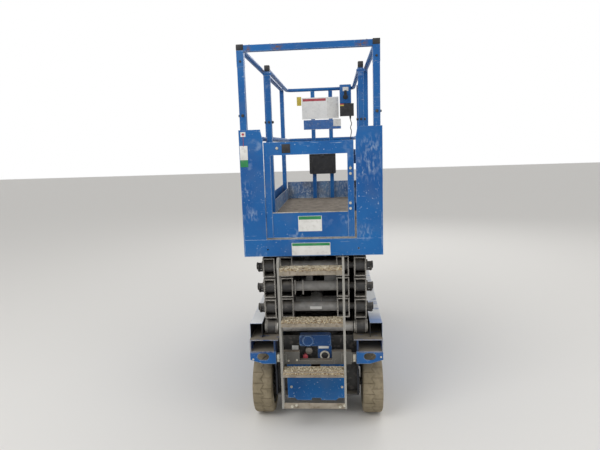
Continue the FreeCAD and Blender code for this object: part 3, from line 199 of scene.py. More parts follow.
def worn_paint(name, fresh, faded, bare, dirt, roughness=0.42, rubbed=0.7, scuffed=0.5, dusty=0.5, edge=0.004,
               grimed=0.12, rubs=(), rusty=(), shade_and_grime_below=None):
    """Paint with worn edges, scratches, scuffs and dust; rubbed, scuffed, dusty and grimed are
    amounts, rubs and rusty are the worst places with their radius, and below the height given
    last the paint is black: painted shade under the chassis, partly road grime."""
    made, nodes, spot = canvas(name)
    cloud = patches(nodes, spot, 0.35, 0.35, 0.65)
    colour = add(nodes, "Mix", {"Factor": cloud, 6: tone(fresh), 7: tone(faded)}, **OVER)
    grime = patches(nodes, spot, 0.12, 0.50, 0.72, grimed)
    colour = add(nodes, "Mix", {"Factor": grime, 6: colour, 7: tone(dirt)}, **OVER)
    # Chalky clouds where hands and tools rub, only in some places
    chalk = patches(nodes, spot, 0.09, 0.60, 0.80, patches(nodes, spot, 0.4, 0.50, 0.62, scuffed), 6)
    for *place, far in rubs:
        near = around(nodes, spot, place, far * 1.3, 0.6)
        scrape = patches(nodes, spot, 1.0, 0.48, 0.72, near, 10, (60, 60, 30))
        chalk = add(nodes, "Math", {0: chalk, 1: scrape}, operation="MAXIMUM")
    colour = add(nodes, "Mix", {"Factor": chalk, 6: colour, 7: tone(bare)}, **OVER)
    # Long thin scratches in three directions, half a millimetre wide, drawn at one to two
    area = patches(nodes, spot, 0.16, 0.50, 0.56, scuffed)
    lines = 0.0
    for stretch, turn in (((9, 9, 240), (0.5, 0.2, 0.3)), ((240, 240, 11), (0.15, -0.35, 0.1)),
                          ((12, 260, 260), (0.1, 0.25, -0.2))):
        streak = patches(nodes, spot, 1.0, 0.715, 0.745, area, 2, stretch, turn)
        lines = add(nodes, "Math", {0: streak, 1: lines}, operation="MAXIMUM")
    colour = add(nodes, "Mix", {"Factor": lines, 6: colour, 7: tone(bare)}, **OVER)
    for *place, far in rusty:
        rust = patches(nodes, spot, 0.014, 0.38, 0.60, around(nodes, spot, place, far, 1.1), 8)
        colour = add(nodes, "Mix", {"Factor": rust, 6: colour, 7: tone("#6B4B36")}, **OVER)
    # Chips of 3 to 12 mm and rubbed edges, down to primer
    chips = patches(nodes, spot, 0.011, 0.675, 0.705, patches(nodes, spot, 0.3, 0.44, 0.56, scuffed * 1.4), 3)
    worn = rims(nodes, edge, patches(nodes, spot, 0.05, 0.34, 0.52, rubbed, 6))
    worn = add(nodes, "Math", {0: worn, 1: chips}, operation="MAXIMUM")
    colour = add(nodes, "Mix", {"Factor": worn, 6: colour, 7: tone(bare)}, **OVER)
    dust = lying(nodes, patches(nodes, spot, 0.08, 0.30, 0.62, dusty, 6))
    colour = add(nodes, "Mix", {"Factor": dust, 6: colour, 7: tone(dirt)}, **OVER)
    # Black below a given height: painted shade under the chassis, partly road grime.
    if shade_and_grime_below:
        low = add(nodes, "MapRange", {"Value": add(nodes, "SeparateXYZ", {"Vector": spot}, "Z"),
                                      "From Min": shade_and_grime_below + 0.02, "From Max": shade_and_grime_below - 0.02, "To Max": 0.93})
        colour = add(nodes, "Mix", {"Factor": low, 6: colour, 7: tone("#1E1D1D")}, **OVER)
    dull = add(nodes, "Math", {0: dust, 1: chalk}, operation="MAXIMUM")
    rough = add(nodes, "MapRange", {"Value": dull, "To Min": roughness, "To Max": 0.85})
    marks = add(nodes, "Math", {0: lines, 1: worn}, operation="MAXIMUM")
    grain = patches(nodes, spot, 0.004, 0.2, 0.8, 0.25, 2)
    height = add(nodes, "Math", {0: grain, 1: marks}, operation="SUBTRACT")
    bump = add(nodes, "Bump", {"Height": height, "Strength": 0.35, "Distance": 0.0008})
    skin = add(nodes, "BsdfPrincipled", {"Base Color": colour, "Roughness": rough, "Normal": bump,
                                         "Specular IOR Level": 0.35})
    add(nodes, "OutputMaterial", {"Surface": skin})
    return made


def coat(finished, *nodes):
    """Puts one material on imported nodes."""
    for name in nodes:
        mesh = frame["nodes"][name].data
        mesh.materials.clear()
        mesh.materials.append(finished)


def painted(slot):
    """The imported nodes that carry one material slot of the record."""
    return [part["node"] for part in frame["record"]["subparts"] if part["material_slot"] == slot]


FRESH, FADED, PRIMER, SOIL = "#0A5092", "#1262A4", "#B9CBDA", "#77797C"
blue_enamel = worn_paint("blue_brushed_enamel", FRESH, FADED, PRIMER, SOIL)
coat(blue_enamel, *painted("blue_paint"))
scuffed_enamel = worn_paint("blue_enamel_scraped_at_the_gate", FRESH, FADED, "#BACBDB", SOIL, rubs=(
    (0.323, -1.13, 1.583, 0.085), (0.346, -1.13, 1.680, 0.070), (0.304, -1.13, 1.201, 0.045),
    (-0.377, -1.13, 1.460, 0.050), (-0.355, -1.13, 1.314, 0.045), (-0.307, -1.13, 1.076, 0.030),
    (0.195, -1.12, 1.275, 0.030), (-0.100, -1.12, 1.185, 0.040)))
coat(worn_paint("blue_enamel_rusting_at_the_welds", FRESH, FADED, PRIMER, SOIL, rusty=(
    (-0.170, -1.12, 2.245, 0.040), (0.295, -1.12, 2.245, 0.045), (-0.330, -1.12, 2.238, 0.025))),
     "main_rails")
coat(scuffed_enamel, "corner_panels", "gate", "fascias")
# Chassis beams: a darker blue with heavy grime, black below 0.39 m. This is painted shade of the space under
# the platform, partly road grime; the rust spots are real.
coat(worn_paint("blue_enamel_darkened_by_painted_shade_and_grime", "#10305C", "#183E6C", "#6E7A86", "#4E473E",
                shade_and_grime_below=0.39, grimed=0.6, rusty=((-0.235, -1.06, 0.505, 0.050), (-0.235, -0.98, 0.485, 0.040))),
     "chassis_beams")
coat(worn_paint("blue_enamel_under_grey_dirt", "#123F7C", "#1B5190", "#B4B1A8", "#857D70", roughness=0.6,
                rubbed=1.5, dusty=2.5, edge=0.007, grimed=0.3), "side_channels")
# Rear housing and inlet box: the blue made darker and grimier, painted shade of the recess behind the ladder.
recess_shade_enamel = worn_paint("blue_enamel_darkened_for_painted_recess_shade", "#0C3E74", "#114A86", "#A9BBCB", "#5E5A54",
                          grimed=0.45)
coat(recess_shade_enamel, "rear_housing")


def settle(form):
    """Sorts a form's parts by their place and starts each many-sided face at its first corner,
    since some operators leave them in no fixed order and every run has to give the same mesh."""
    def rank(spot):
        return [round(far, 6) for far in spot]

    for face in [face for face in form.faces if len(face.verts) > 4]:
        corners = face.verts[:]
        first = min(range(len(corners)), key=lambda at: rank(corners[at].co))
        if first:
            form.faces.remove(face)
            form.faces.new(corners[first:] + corners[:first])
    for parts, place in ((form.verts, lambda part: part.co),
                         (form.edges, lambda part: (part.verts[0].co + part.verts[1].co) / 2),
                         (form.faces, lambda part: part.calc_center_median())):
        for at, part in enumerate(sorted(parts, key=lambda part: rank(place(part)))):
            part.index = at
        parts.sort()


def piece(name, form, finished, body, slot, *stands_for):
    """A finished mesh piece in its coat, riding on a body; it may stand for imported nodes."""
    settle(form)
    bmesh.ops.recalc_face_normals(form, faces=form.faces)
    mesh = bpy.data.meshes.new(name)
    form.to_mesh(mesh)
    form.free()
    mesh.materials.append(finished)
    mesh.shade_smooth()
    mesh.set_sharp_from_angle(angle=radians(34))
    made = bpy.data.objects.new(name, mesh)
    scene.collection.objects.link(made)
    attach(made, body)
    if stands_for:
        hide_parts(*stands_for)
    return made


def slab(form, low, high, soft=0.0, segments=2):
    """A block between two corners with its edges rounded by soft metres."""
    low, high = Vector(low), Vector(high)
    shape = Matrix.LocRotScale((low + high) / 2, None, high - low)
    made = bmesh.ops.create_cube(form, size=1, matrix=shape)["verts"]
    if soft:
        lines = list(dict.fromkeys(edge for vert in made for edge in vert.link_edges))
        bmesh.ops.bevel(form, geom=lines, offset=soft, offset_type="OFFSET", affect="EDGES",
                        segments=segments, profile=0.5, material=-1)


def disc(form, spot, way, radius, thick, sides=28, waist=1.0, soft=0.0):
    """A round or many-sided bar centred on spot along way; waist narrows its far end."""
    turn = Vector(way).to_track_quat("Z", "Y").to_matrix().to_4x4()
    made = bmesh.ops.create_cone(form, cap_ends=True, segments=sides, radius1=radius, radius2=radius * waist,
                                 depth=thick, matrix=Matrix.Translation(spot) @ turn)["verts"]
    if soft:
        lines = list(dict.fromkeys(edge for vert in made for edge in vert.link_edges if any(
            len(face.verts) > 4 for face in edge.link_faces)))
        bmesh.ops.bevel(form, geom=lines, offset=soft, offset_type="OFFSET", affect="EDGES", segments=2,
                        profile=0.5, material=-1)


def bolt(form, spot, way, across):
    """A hexagon bolt head on its washer, screwed to the surface at spot."""
    way, spot = Vector(way).normalized(), Vector(spot)
    disc(form, spot + way * across * 0.05, way, across * 0.66, across * 0.14, 24)
    disc(form, spot + way * across * 0.34, way, across * 0.52, across * 0.46, 6, 0.94)


# Bolts and washers: zinc-plated steel, dull and spotted with rust.  The lead and the small
# boxes are black moulded plastic.


def plain_stuff(name, one, other, stain, roughness, metallic, grain, depth, dusty=0.3, stained=0.5):
    """Bare, moulded or printed stuff: two close colours, stains, a fine grain and dust."""
    made, nodes, spot = canvas(name)
    cloud = patches(nodes, spot, 0.06, 0.35, 0.65)
    colour = add(nodes, "Mix", {"Factor": cloud, 6: tone(one), 7: tone(other)}, **OVER)
    marks = patches(nodes, spot, 0.02, 0.52, 0.70, stained, 6)
    colour = add(nodes, "Mix", {"Factor": marks, 6: colour, 7: tone(stain)}, **OVER)
    dust = lying(nodes, patches(nodes, spot, 0.05, 0.30, 0.62, dusty, 6), 0.3, 0.8)
    colour = add(nodes, "Mix", {"Factor": dust, 6: colour, 7: tone("#8E8678")}, **OVER)
    dull = add(nodes, "Math", {0: marks, 1: dust}, operation="MAXIMUM")
    rough = add(nodes, "MapRange", {"Value": dull, "To Min": roughness, "To Max": min(1, roughness + 0.3)})
    bump = add(nodes, "Bump", {"Height": patches(nodes, spot, grain, 0.25, 0.75, detail=3), "Strength": 0.5,
                               "Distance": depth})
    skin = add(nodes, "BsdfPrincipled", {"Base Color": colour, "Roughness": rough, "Metallic": metallic,
                                         "Normal": bump})
    add(nodes, "OutputMaterial", {"Surface": skin})
    return made


zinc = plain_stuff("zinc_plated_steel", "#A9A79F", "#C4C2BA", "#6E5E4C", 0.42, 0.8, 0.004, 0.0004)
black_plastic = plain_stuff("black_moulded_abs", "#17171A", "#222225", "#4A4844", 0.5, 0.0, 0.0015, 0.0003,
                            dusty=0.35, stained=0.25)
wire.materials.append(black_plastic)

# Scissor arms: rectangular steel tube with cross tubes welded through, sprayed dark grey.
# Their open ends are rubbed bright along the edges; the cross tubes have faded paler.
arm_coat, nodes, spot = canvas("dark_grey_sprayed_enamel")
TUBE_HALF = 0.1295
reach = add(nodes, "Math", {0: add(nodes, "SeparateXYZ", {"Vector": spot}, "X")}, operation="ABSOLUTE")
between = add(nodes, "Math", {0: reach, 1: TUBE_HALF}, operation="LESS_THAN")
cloud = patches(nodes, spot, 0.2, 0.35, 0.65)
colour = add(nodes, "Mix", {"Factor": cloud, 6: tone("#302F2F"), 7: tone("#454443")}, **OVER)
cloud = patches(nodes, spot, 0.05, 0.35, 0.65, detail=6)
tubes = add(nodes, "Mix", {"Factor": cloud, 6: tone("#7B7A78"), 7: tone("#989693")}, **OVER)
colour = add(nodes, "Mix", {"Factor": between, 6: colour, 7: tubes}, **OVER)
marks = patches(nodes, spot, 0.03, 0.58, 0.74, 0.28, 6)
colour = add(nodes, "Mix", {"Factor": marks, 6: colour, 7: tone("#8A857C")}, **OVER)
worn = rims(nodes, 0.006, patches(nodes, spot, 0.05, 0.20, 0.38, 1.0, 5))
colour = add(nodes, "Mix", {"Factor": worn, 6: colour, 7: tone("#D2CDC3")}, **OVER)
dust = lying(nodes, patches(nodes, spot, 0.06, 0.32, 0.6, 0.55, 6), 0.3, 0.85)
colour = add(nodes, "Mix", {"Factor": dust, 6: colour, 7: tone("#857E73")}, **OVER)
dull = add(nodes, "Math", {0: dust, 1: marks}, operation="MAXIMUM")
rough = add(nodes, "MapRange", {"Value": dull, "To Min": 0.48, "To Max": 0.85})
grain = patches(nodes, spot, 0.005, 0.2, 0.8, detail=2)
height = add(nodes, "Math", {0: grain, 1: worn}, operation="SUBTRACT")
bump = add(nodes, "Bump", {"Height": height, "Strength": 0.4, "Distance": 0.0008})
skin = add(nodes, "BsdfPrincipled", {"Base Color": colour, "Roughness": rough, "Normal": bump})
add(nodes, "OutputMaterial", {"Surface": skin})
coat(arm_coat, *painted("arm_paint"))

# Pin keepers: each scissor pin sticks out past its outer arm through a welded collar, and a
# D-shaped plate with one bolt holds it there.  They are sprayed dark.  The same dark coat on
# the chassis floor and the front deck is painted shade of the recess behind the ladder.
PITCH_UP, LOWEST, HALF_STACK = 0.129, 0.596, 1.018
ARM_FACE, PIN_END = 0.310, 0.352
keeper_enamel_and_recess_shade = plain_stuff("pin_keeper_dark_enamel_and_painted_recess_shade", "#2A2928", "#3A3938", "#77716A", 0.5, 0.2, 0.006, 0.0006,
                          dusty=0.5)
for row in (1, 2, 3, 4):
    form = bmesh.new()
    spots = [(-HALF_STACK, LOWEST + PITCH_UP * (row - 1))] if row > 1 else []
    spots += [(HALF_STACK, LOWEST + PITCH_UP * row)] if row < 4 else []
    for side in (1, -1):
        for y, z in spots:
            way = (side, 0, 0)
            disc(form, (side * (ARM_FACE + 0.005), y, z), way, 0.031, 0.010, 32, soft=0.002)
            disc(form, (side * (PIN_END - 0.004), y, z), way, 0.0225, 0.008, 32, soft=0.002)
            # The plate: a disc cut off flat below the pin
            plate = bmesh.new()
            disc(plate, (side * (ARM_FACE + 0.028), y, z - 0.002), way, 0.035, 0.007, 32, soft=0.0015)
            everything = plate.verts[:] + plate.edges[:] + plate.faces[:]
            cut = bmesh.ops.bisect_plane(plate, geom=everything, plane_co=(0, y, z + 0.012),
                                         plane_no=(0, 0, 1), clear_outer=True)["geom_cut"]
            bmesh.ops.holes_fill(plate, edges=[part for part in cut if isinstance(part, bmesh.types.BMEdge)])
            half = bpy.data.meshes.new("keeper")
            plate.to_mesh(half)
            plate.free()
            form.from_mesh(half)
            slab(form, (min(side * ARM_FACE, side * (ARM_FACE + 0.030)), y - 0.008, z - 0.034),
                 (max(side * ARM_FACE, side * (ARM_FACE + 0.030)), y + 0.008, z - 0.024), 0.0015)
            bolt(form, (side * (ARM_FACE + 0.0315), y, z - 0.028), way, 0.011)
        # The middle pin's short end, flush collar and grease fitting
        disc(form, (side * (ARM_FACE + 0.003), 0, LOWEST + PITCH_UP * (row - 0.5)), (side, 0, 0), 0.029,
             0.006, 32, soft=0.002)
    piece("pin_keepers_%d" % row, form, keeper_enamel_and_recess_shade, "outer_%d" % row, "arm_paint")
# Chassis floor and front deck in the dark coat: painted shade of the recess.
coat(keeper_enamel_and_recess_shade, "chassis_floor", "front_deck")

# Lowest cross tube: paler than the rest, with ring collars beside the arms that carry the
# rollers.  The tube two levels up has two small upright lugs.
tube_coat = plain_stuff("cross_tube_grey_enamel", "#8C8A87", "#A3A19D", "#5E564C", 0.55, 0.1, 0.01, 0.0006,
                        dusty=0.7)
form = bmesh.new()
disc(form, (0, -HALF_STACK, LOWEST), (1, 0, 0), 0.0306, 0.455, 48)
for side in (1, -1):
    disc(form, (side * 0.274, -HALF_STACK, LOWEST), (1, 0, 0), 0.0386, 0.069, 48)
piece("low_tube_sleeve", form, tube_coat, "outer_1", "arm_paint")
form = bmesh.new()
for x in (-0.3125, -0.2355, 0.2355, 0.3125):
    disc(form, (x, -HALF_STACK, LOWEST), (1, 0, 0), 0.0415, 0.0045, 40, soft=0.001)
piece("low_tube_rings", form, zinc, "outer_1", "pin_steel")
form = bmesh.new()
for x in (-0.120, -0.072):
    slab(form, (x - 0.003, -HALF_STACK - 0.034, LOWEST + PITCH_UP * 2 - 0.044),
         (x + 0.003, -HALF_STACK - 0.018, LOWEST + PITCH_UP * 2 + 0.044), 0.001)
piece("hose_lugs", form, arm_coat, "inner_2", "arm_paint")

# Blank marking strip glued on the cross tube one level up: white printed film on the tube.


def film(name, one, other, stain, stained=0.5):
    """Smooth printed film in two close colours."""
    return plain_stuff(name, one, other, stain, 0.4, 0.0, 0.002, 0.0001, dusty=0.2, stained=stained)


def draw_out(form, made, length):
    """Carries freshly extruded parts along x."""
    bmesh.ops.translate(form, vec=(length, 0, 0),
                        verts=[part for part in made if isinstance(part, bmesh.types.BMVert)])


white_film = film("white_vinyl_film", "#D6D5D1", "#E2E1DD", "#A8A59D", 0.35)
form = bmesh.new()
curl = [form.verts.new((-0.033, -HALF_STACK - 0.0304 * cos(turn), LOWEST + PITCH_UP + 0.0304 * sin(turn)))
        for turn in (-0.35, -0.15, 0.05, 0.25)]
lines = [form.edges.new(pair) for pair in zip(curl, curl[1:])]
swept = bmesh.ops.extrude_edge_only(form, edges=lines)["geom"]
draw_out(form, swept, 0.072)
bmesh.ops.recalc_face_normals(form, faces=form.faces)
bmesh.ops.solidify(form, geom=form.faces[:], thickness=-0.0008)
piece("tube_marking_strip", form, white_film, "inner_1", "board_white")

# Wheels: solid rubber tyres pressed on dished steel wheels.  The tread is cut with thin
# cross sipes that meet in a zigzag round the middle; the rubber has gone tan with dust.


def turned(form, outline, centre, axis, steps):
    """A closed outline of points turned once round an axis."""
    line = [form.verts.new(point) for point in outline]
    ring = [form.edges.new(pair) for pair in zip(line, line[1:] + line[:1])]
    bmesh.ops.spin(form, geom=line + ring, cent=centre, axis=axis, dvec=(0, 0, 0), angle=2 * pi, steps=steps,
                   use_merge=True, use_duplicate=False)
    settle(form)


tyre_rubber = plain_stuff("solid_rubber_dusty", "#81765F", "#938770", "#675D4B", 0.88, 0.0, 0.006, 0.0008,
                          dusty=0.2, stained=0.45)
wheel_paint = plain_stuff("wheel_black_enamel", "#2B2A29", "#3A3836", "#6E665A", 0.55, 0.0, 0.004, 0.0005,
                          dusty=0.6, stained=0.6)
STEPS, BLOCK = 144, 8
ZIGZAG, SIPE_WIDE, SIPE_DEEP = 0.011, 0.0017, 0.005
for wheel in ("rear_right", "rear_left", "front_right", "front_left"):
    low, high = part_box("tyre_" + wheel)
    centre = (low + high) / 2
    radius, half = (high.z - low.z) / 2, (high.x - low.x) / 2
    inside = radius - 0.052
    flank = [(half, inside), (half, radius - 0.030), (half - 0.002, radius - 0.016),
             (half - 0.006, radius - 0.006), (half - 0.014, radius - 0.001), (0.026, radius)]
    across = [(-x, far) for x, far in flank] + [(0, radius)] + flank[::-1]
    form = bmesh.new()
    turned(form, [centre + Vector((x, 0, far)) for x, far in across], centre, (1, 0, 0), STEPS)
    bmesh.ops.recalc_face_normals(form, faces=form.faces)
    # The sipes: eight steps to a block, the two halves of the tread half a block apart, and
    # one block after another from the top backwards
    blocks, shared = {}, {}
    for face in form.faces:
        middle = face.calc_center_median() - centre
        if Vector((0, middle.y, middle.z)).length > radius - 0.0075:
            step = round(atan2(-middle.y, middle.z) / (2 * pi) * STEPS - 0.5) % STEPS
            key = ((step + (0 if middle.x > 0 else BLOCK // 2)) % STEPS // BLOCK, middle.x > 0)
            blocks.setdefault(key, []).append(face)
            for vert in face.verts:
                shared.setdefault(vert, set()).add(key)
    cuts = [vert for vert, keys in shared.items() if len(keys) > 1]
    for vert in shared:
        place = vert.co - centre
        if abs(place.x) < 0.001:
            turn = atan2(place.z, place.y) / (2 * pi) * STEPS
            vert.co.x += ZIGZAG * (abs((turn / (BLOCK // 2)) % 2 - 1) * 2 - 1)
    for key in sorted(blocks):
        bmesh.ops.inset_region(form, faces=blocks[key], thickness=SIPE_WIDE, depth=0, use_even_offset=True,
                               use_boundary=True)
    for vert in cuts:
        vert.co -= Vector((0, vert.co.y - centre.y, vert.co.z - centre.z)).normalized() * SIPE_DEEP
    piece("tread_" + wheel, form, tyre_rubber, "wheel_" + wheel, "tyre_rubber", "tyre_" + wheel)
    coat(wheel_paint, "rim_" + wheel)
    side = 1 if centre.x > 0 else -1
    face = centre.x + side * 0.048
    form = bmesh.new()
    for stud in range(5):
        turn = stud * 2 * pi / 5 + 0.3
        bolt(form, (face, centre.y + 0.068 * cos(turn), centre.z + 0.068 * sin(turn)), (side, 0, 0), 0.021)
    piece("wheel_nuts_" + wheel, form, zinc, "wheel_" + wheel, "pin_steel")

# Ladder: two grey side plates and folded steel treads, brushed grey and dusty.  The bar
# across the chassis behind it has gone darker; small screws and two clamp blocks hold it,
# with one bolt in the corner of each end plate.
ladder_paint = worn_paint("grey_brushed_enamel", "#8B8983", "#A09E97", "#DDDBD2", "#7D7160", roughness=0.6,
                          dusty=0.9, rubbed=0.95, edge=0.003)
bar_paint = worn_paint("dark_grey_brushed_enamel", "#5F5E5B", "#706F6A", "#B9B7AE", "#85796A", roughness=0.6,
                       scuffed=0.4, dusty=0.95, rubbed=0.8, edge=0.003)
tread_coat = plain_stuff("tread_steel_grey_tan", "#8A8172", "#A3998A", "#6A5B47", 0.8, 0.1, 0.006, 0.0008,
                         dusty=0.8, stained=0.6)
coat(ladder_paint, "ladder_rails")
coat(bar_paint, "cross_bar")
coat(tread_coat, "ladder_steps")
pale_zinc = plain_stuff("zinc_washed_pale", "#C9C5B6", "#DAD6C8", "#8D8068", 0.5, 0.3, 0.003, 0.0003)
BAR_FACE, CLAMP_FACE, END_PLATE_FACE, FOOT_FACE, SKIRT_FACE = -1.130, -1.1315, -1.138, -1.2125, -1.094
TREAD_TOPS = (0.388, 0.698, 1.008)
TREAD_LEFT, TREAD_RIGHT = -0.195, 0.166
form = bmesh.new()
for x, z in ((-0.168, 0.419), (-0.117, 0.423), (0.164, 0.420)):
    bolt(form, (x, BAR_FACE, z), (0, -1, 0), 0.010)
for x, z in ((-0.382, 0.431), (0.387, 0.445)):
    bolt(form, (x, END_PLATE_FACE, z), (0, -1, 0), 0.009)
for x in (-0.229, 0.229):
    slab(form, (x - 0.009, CLAMP_FACE, 0.412), (x + 0.009, -1.1245, 0.458), 0.002)
    for z in (0.424, 0.446):
        bolt(form, (x, CLAMP_FACE, z), (0, -1, 0), 0.011)
piece("bar_screws_and_clamps", form, pale_zinc, "chassis", "pin_steel")
form = bmesh.new()
for x in (-0.135, 0.150):
    for far in (-0.012, 0.014):
        bolt(form, (x + far, FOOT_FACE, 0.170 + far * 0.3), (0, -1, 0), 0.013)
for x in (-0.160, 0.152):
    bolt(form, (x, SKIRT_FACE, 0.232), (0, -1, 0), 0.012)
piece("foot_and_skirt_bolts", form, pale_zinc, "chassis", "pin_steel")

form = bmesh.new()
for top_z in TREAD_TOPS:
    side_view = [(-1.2172, -0.036), (-1.2172, -0.002), (-1.2152, 0), (-1.1515, 0), (-1.1500, -0.0015),
                 (-1.1500, -0.036), (-1.1530, -0.036), (-1.1530, -0.003), (-1.2142, -0.003),
                 (-1.2142, -0.036)]
    outline = form.faces.new([form.verts.new((TREAD_LEFT, y, top_z + z)) for y, z in side_view])
    swept = bmesh.ops.extrude_face_region(form, geom=[outline], use_keep_orig=True)["geom"]
    draw_out(form, swept, TREAD_RIGHT - TREAD_LEFT)
slab(form, (TREAD_LEFT, -1.2120, 0.152), (TREAD_RIGHT, -1.2060, 0.188), 0.0015)
piece("ladder_treads", form, tread_coat, "chassis", "tread_steel", "ladder_steps")

# Mud on the treads: earth trodden into a crust with a ragged front that hangs over the
# lip, brown below and dried pale on the peaks.
REARMOST = -1.2197
mud, nodes, spot = canvas("dried_mud_crust")
cloud = patches(nodes, spot, 0.010, 0.40, 0.60, detail=8)
colour = add(nodes, "Mix", {"Factor": cloud, 6: tone("#6B553C"), 7: tone("#A08F70")}, **OVER)
crumbs = patches(nodes, spot, 0.005, 0.54, 0.64)
colour = add(nodes, "Mix", {"Factor": crumbs, 6: colour, 7: tone("#DCD3B8")}, **OVER)
damp = patches(nodes, spot, 0.03, 0.60, 0.72, 0.8)
colour = add(nodes, "Mix", {"Factor": damp, 6: colour, 7: tone("#56432F")}, **OVER)
dry = lying(nodes, patches(nodes, spot, 0.009, 0.46, 0.60, 0.85, 6), 0.3, 0.95)
colour = add(nodes, "Mix", {"Factor": dry, 6: colour, 7: tone("#E2D9C0")}, **OVER)
bump = add(nodes, "Bump", {"Height": patches(nodes, spot, 0.004, 0.2, 0.8, detail=8), "Strength": 0.9,
                           "Distance": 0.0025})
skin = add(nodes, "BsdfPrincipled", {"Base Color": colour, "Roughness": 0.95, "Normal": bump})
add(nodes, "OutputMaterial", {"Surface": skin})
for row, (top_z, drop) in enumerate(zip(TREAD_TOPS, (0.022, 0.016, 0.014))):
    form = bmesh.new()
    crust = bmesh.ops.create_grid(form, x_segments=120, y_segments=26, size=0.5, matrix=Matrix.LocRotScale(
        Vector((-0.0145, -1.1865, top_z + 0.001)), None, Vector((0.357, 0.069, 1))))["verts"]
    for vert in crust:
        front = max(0.0, min(1.0, (-1.2125 - vert.co.y) / 0.0085))
        lump = noise.noise(Vector((vert.co.x * 90, vert.co.y * 90, row * 7.0)))
        fine = noise.noise(Vector((vert.co.x * 260, vert.co.y * 260, row * 3.0)))
        hang = drop + 0.010 * noise.noise(Vector((vert.co.x * 75, row * 5.0, 2.0)))
        vert.co.z += 0.0045 + 0.0034 * lump + 0.0022 * fine - hang * front
        vert.co.y = max(vert.co.y + 0.0012 * front * fine, REARMOST)
    bmesh.ops.solidify(form, geom=form.faces[:], thickness=0.0016)
    piece("tread_mud_%d" % (row + 1), form, mud, "chassis", "tread_steel")

# Recess behind the ladder: a blue inlet box with a pale ringed socket, a red stop button, a
# grey valve knob, a dial on the housing above and a blank plate screwed to the bulkhead.
INLET = Vector((0.0515, 0, 0.435))
DIAL = Vector((-0.049, 0, 0.531))
red_plastic = plain_stuff("red_moulded_plastic", "#A93C48", "#BC505A", "#6E3A3C", 0.45, 0.0, 0.002, 0.0002)
grey_plastic = plain_stuff("pale_moulded_plastic", "#B9B5A9", "#CBC7BB", "#837B6C", 0.5, 0.0, 0.002, 0.0003)
cast_knob = plain_stuff("cast_aluminium_dirty", "#77726C", "#8E8982", "#4C463F", 0.55, 0.6, 0.003, 0.0006,
                        dusty=0.6, stained=0.7)
form = bmesh.new()
slab(form, (0.009, -1.086, 0.404), (0.094, -1.046, 0.4957), 0.002)
# The inlet box takes the darker housing enamel: painted recess shade.
piece("inlet_box", form, recess_shade_enamel, "chassis", "blue_paint", "recess_fittings")
form = bmesh.new()
turned(form, [(INLET.x + far, y, INLET.z) for far, y in (
    (0.030, -1.0862), (0.030, -1.0915), (0.028, -1.0938), (0.023, -1.0938), (0.021, -1.092),
    (0.021, -1.0862))], INLET, (0, 1, 0), 40)
piece("inlet_ring", form, grey_plastic, "chassis", "red_plastic", "recess_fittings")
form = bmesh.new()
disc(form, (INLET.x, -1.0875, INLET.z), (0, -1, 0), 0.0205, 0.003, 32, soft=0.0006)
for pin in range(3):
    turn = pin * 2.094 + 0.5
    disc(form, (INLET.x + 0.009 * cos(turn), -1.0905, INLET.z + 0.009 * sin(turn)), (0, -1, 0), 0.0022,
         0.005, 12)
slab(form, (0.0495, -1.0905, 0.451), (0.0535, -1.0885, 0.455), 0.0004)
piece("inlet_pins", form, black_plastic, "chassis", "black_plastic", "recess_fittings")
form = bmesh.new()
disc(form, (-0.068, -1.0655, 0.425), (0, -1, 0), 0.0085, 0.036, 24)
disc(form, (-0.068, -1.0855, 0.425), (0, -1, 0), 0.017, 0.009, 36, 0.86, 0.002)
piece("stop_button", form, red_plastic, "chassis", "red_plastic", "recess_fittings")
form = bmesh.new()
disc(form, (-0.045, -1.054, 0.460), (0, -1, 0), 0.013, 0.016, 24)
disc(form, (-0.045, -1.072, 0.460), (0, -1, 0), 0.024, 0.020, 10, 0.93, 0.0025)
disc(form, (-0.045, -1.0825, 0.460), (0, -1, 0), 0.008, 0.003, 20, soft=0.0008)
piece("valve_knob", form, cast_knob, "chassis", "pin_steel", "recess_fittings")
form = bmesh.new()
turned(form, [(DIAL.x + far, y, DIAL.z) for far, y in (
    (0.033, -1.0982), (0.033, -1.0998), (0.0285, -1.0998), (0.0275, -1.0982))], DIAL, (0, 1, 0), 40)
for x, z in ((-0.093, 0.505), (-0.093, 0.557), (0.082, 0.505), (0.082, 0.557)):
    disc(form, (x, -1.0928, z), (0, -1, 0), 0.0045, 0.0016, 16, soft=0.0004)
piece("dial_bezel_and_screws", form, scuffed_enamel, "chassis", "blue_paint")
form = bmesh.new()
slab(form, (-0.152, -1.0485, 0.448), (-0.112, -1.0462, 0.482), 0.0006)
slab(form, (0.014, -1.0872, 0.4785), (0.076, -1.0861, 0.4950), 0.0004)
piece("recess_blank_labels", form, white_film, "chassis", "board_white")

# Fascia under the platform: a blank label, white with a green band, glued to the blue
# sheet, and a scuffed metal threshold that boots have rubbed bright.
SHEET_FACE = -1.1300


def label(form, low, high, face, thick=0.0006, soft=0.0002):
    """A thin flat sheet glued on a face, between two corners given as x and z."""
    slab(form, (low[0], face - thick, low[1]), (high[0], face, high[1]), soft, 1)


green_film = film("green_vinyl_film", "#1F7A45", "#2B8750", "#77796A")
form = bmesh.new()
label(form, (-0.124, 1.070), (0.101, 1.144), SHEET_FACE)
piece("fascia_label", form, white_film, "platform", "board_white")
form = bmesh.new()
label(form, (-0.121, 1.126), (0.098, 1.142), SHEET_FACE - 0.0006, 0.0003, 0.0001)
piece("fascia_label_band", form, green_film, "platform", "board_white")
threshold = plain_stuff("rubbed_steel_threshold", "#9C9890", "#BDB9B0", "#6B6254", 0.5, 0.6, 0.004, 0.0006,
                        dusty=0.8, stained=0.6)
form = bmesh.new()
slab(form, (-0.357, -1.1260, 1.1652), (0.357, -1.0900, 1.1692), 0.0012)
piece("gate_threshold", form, threshold, "platform", "deck_steel")

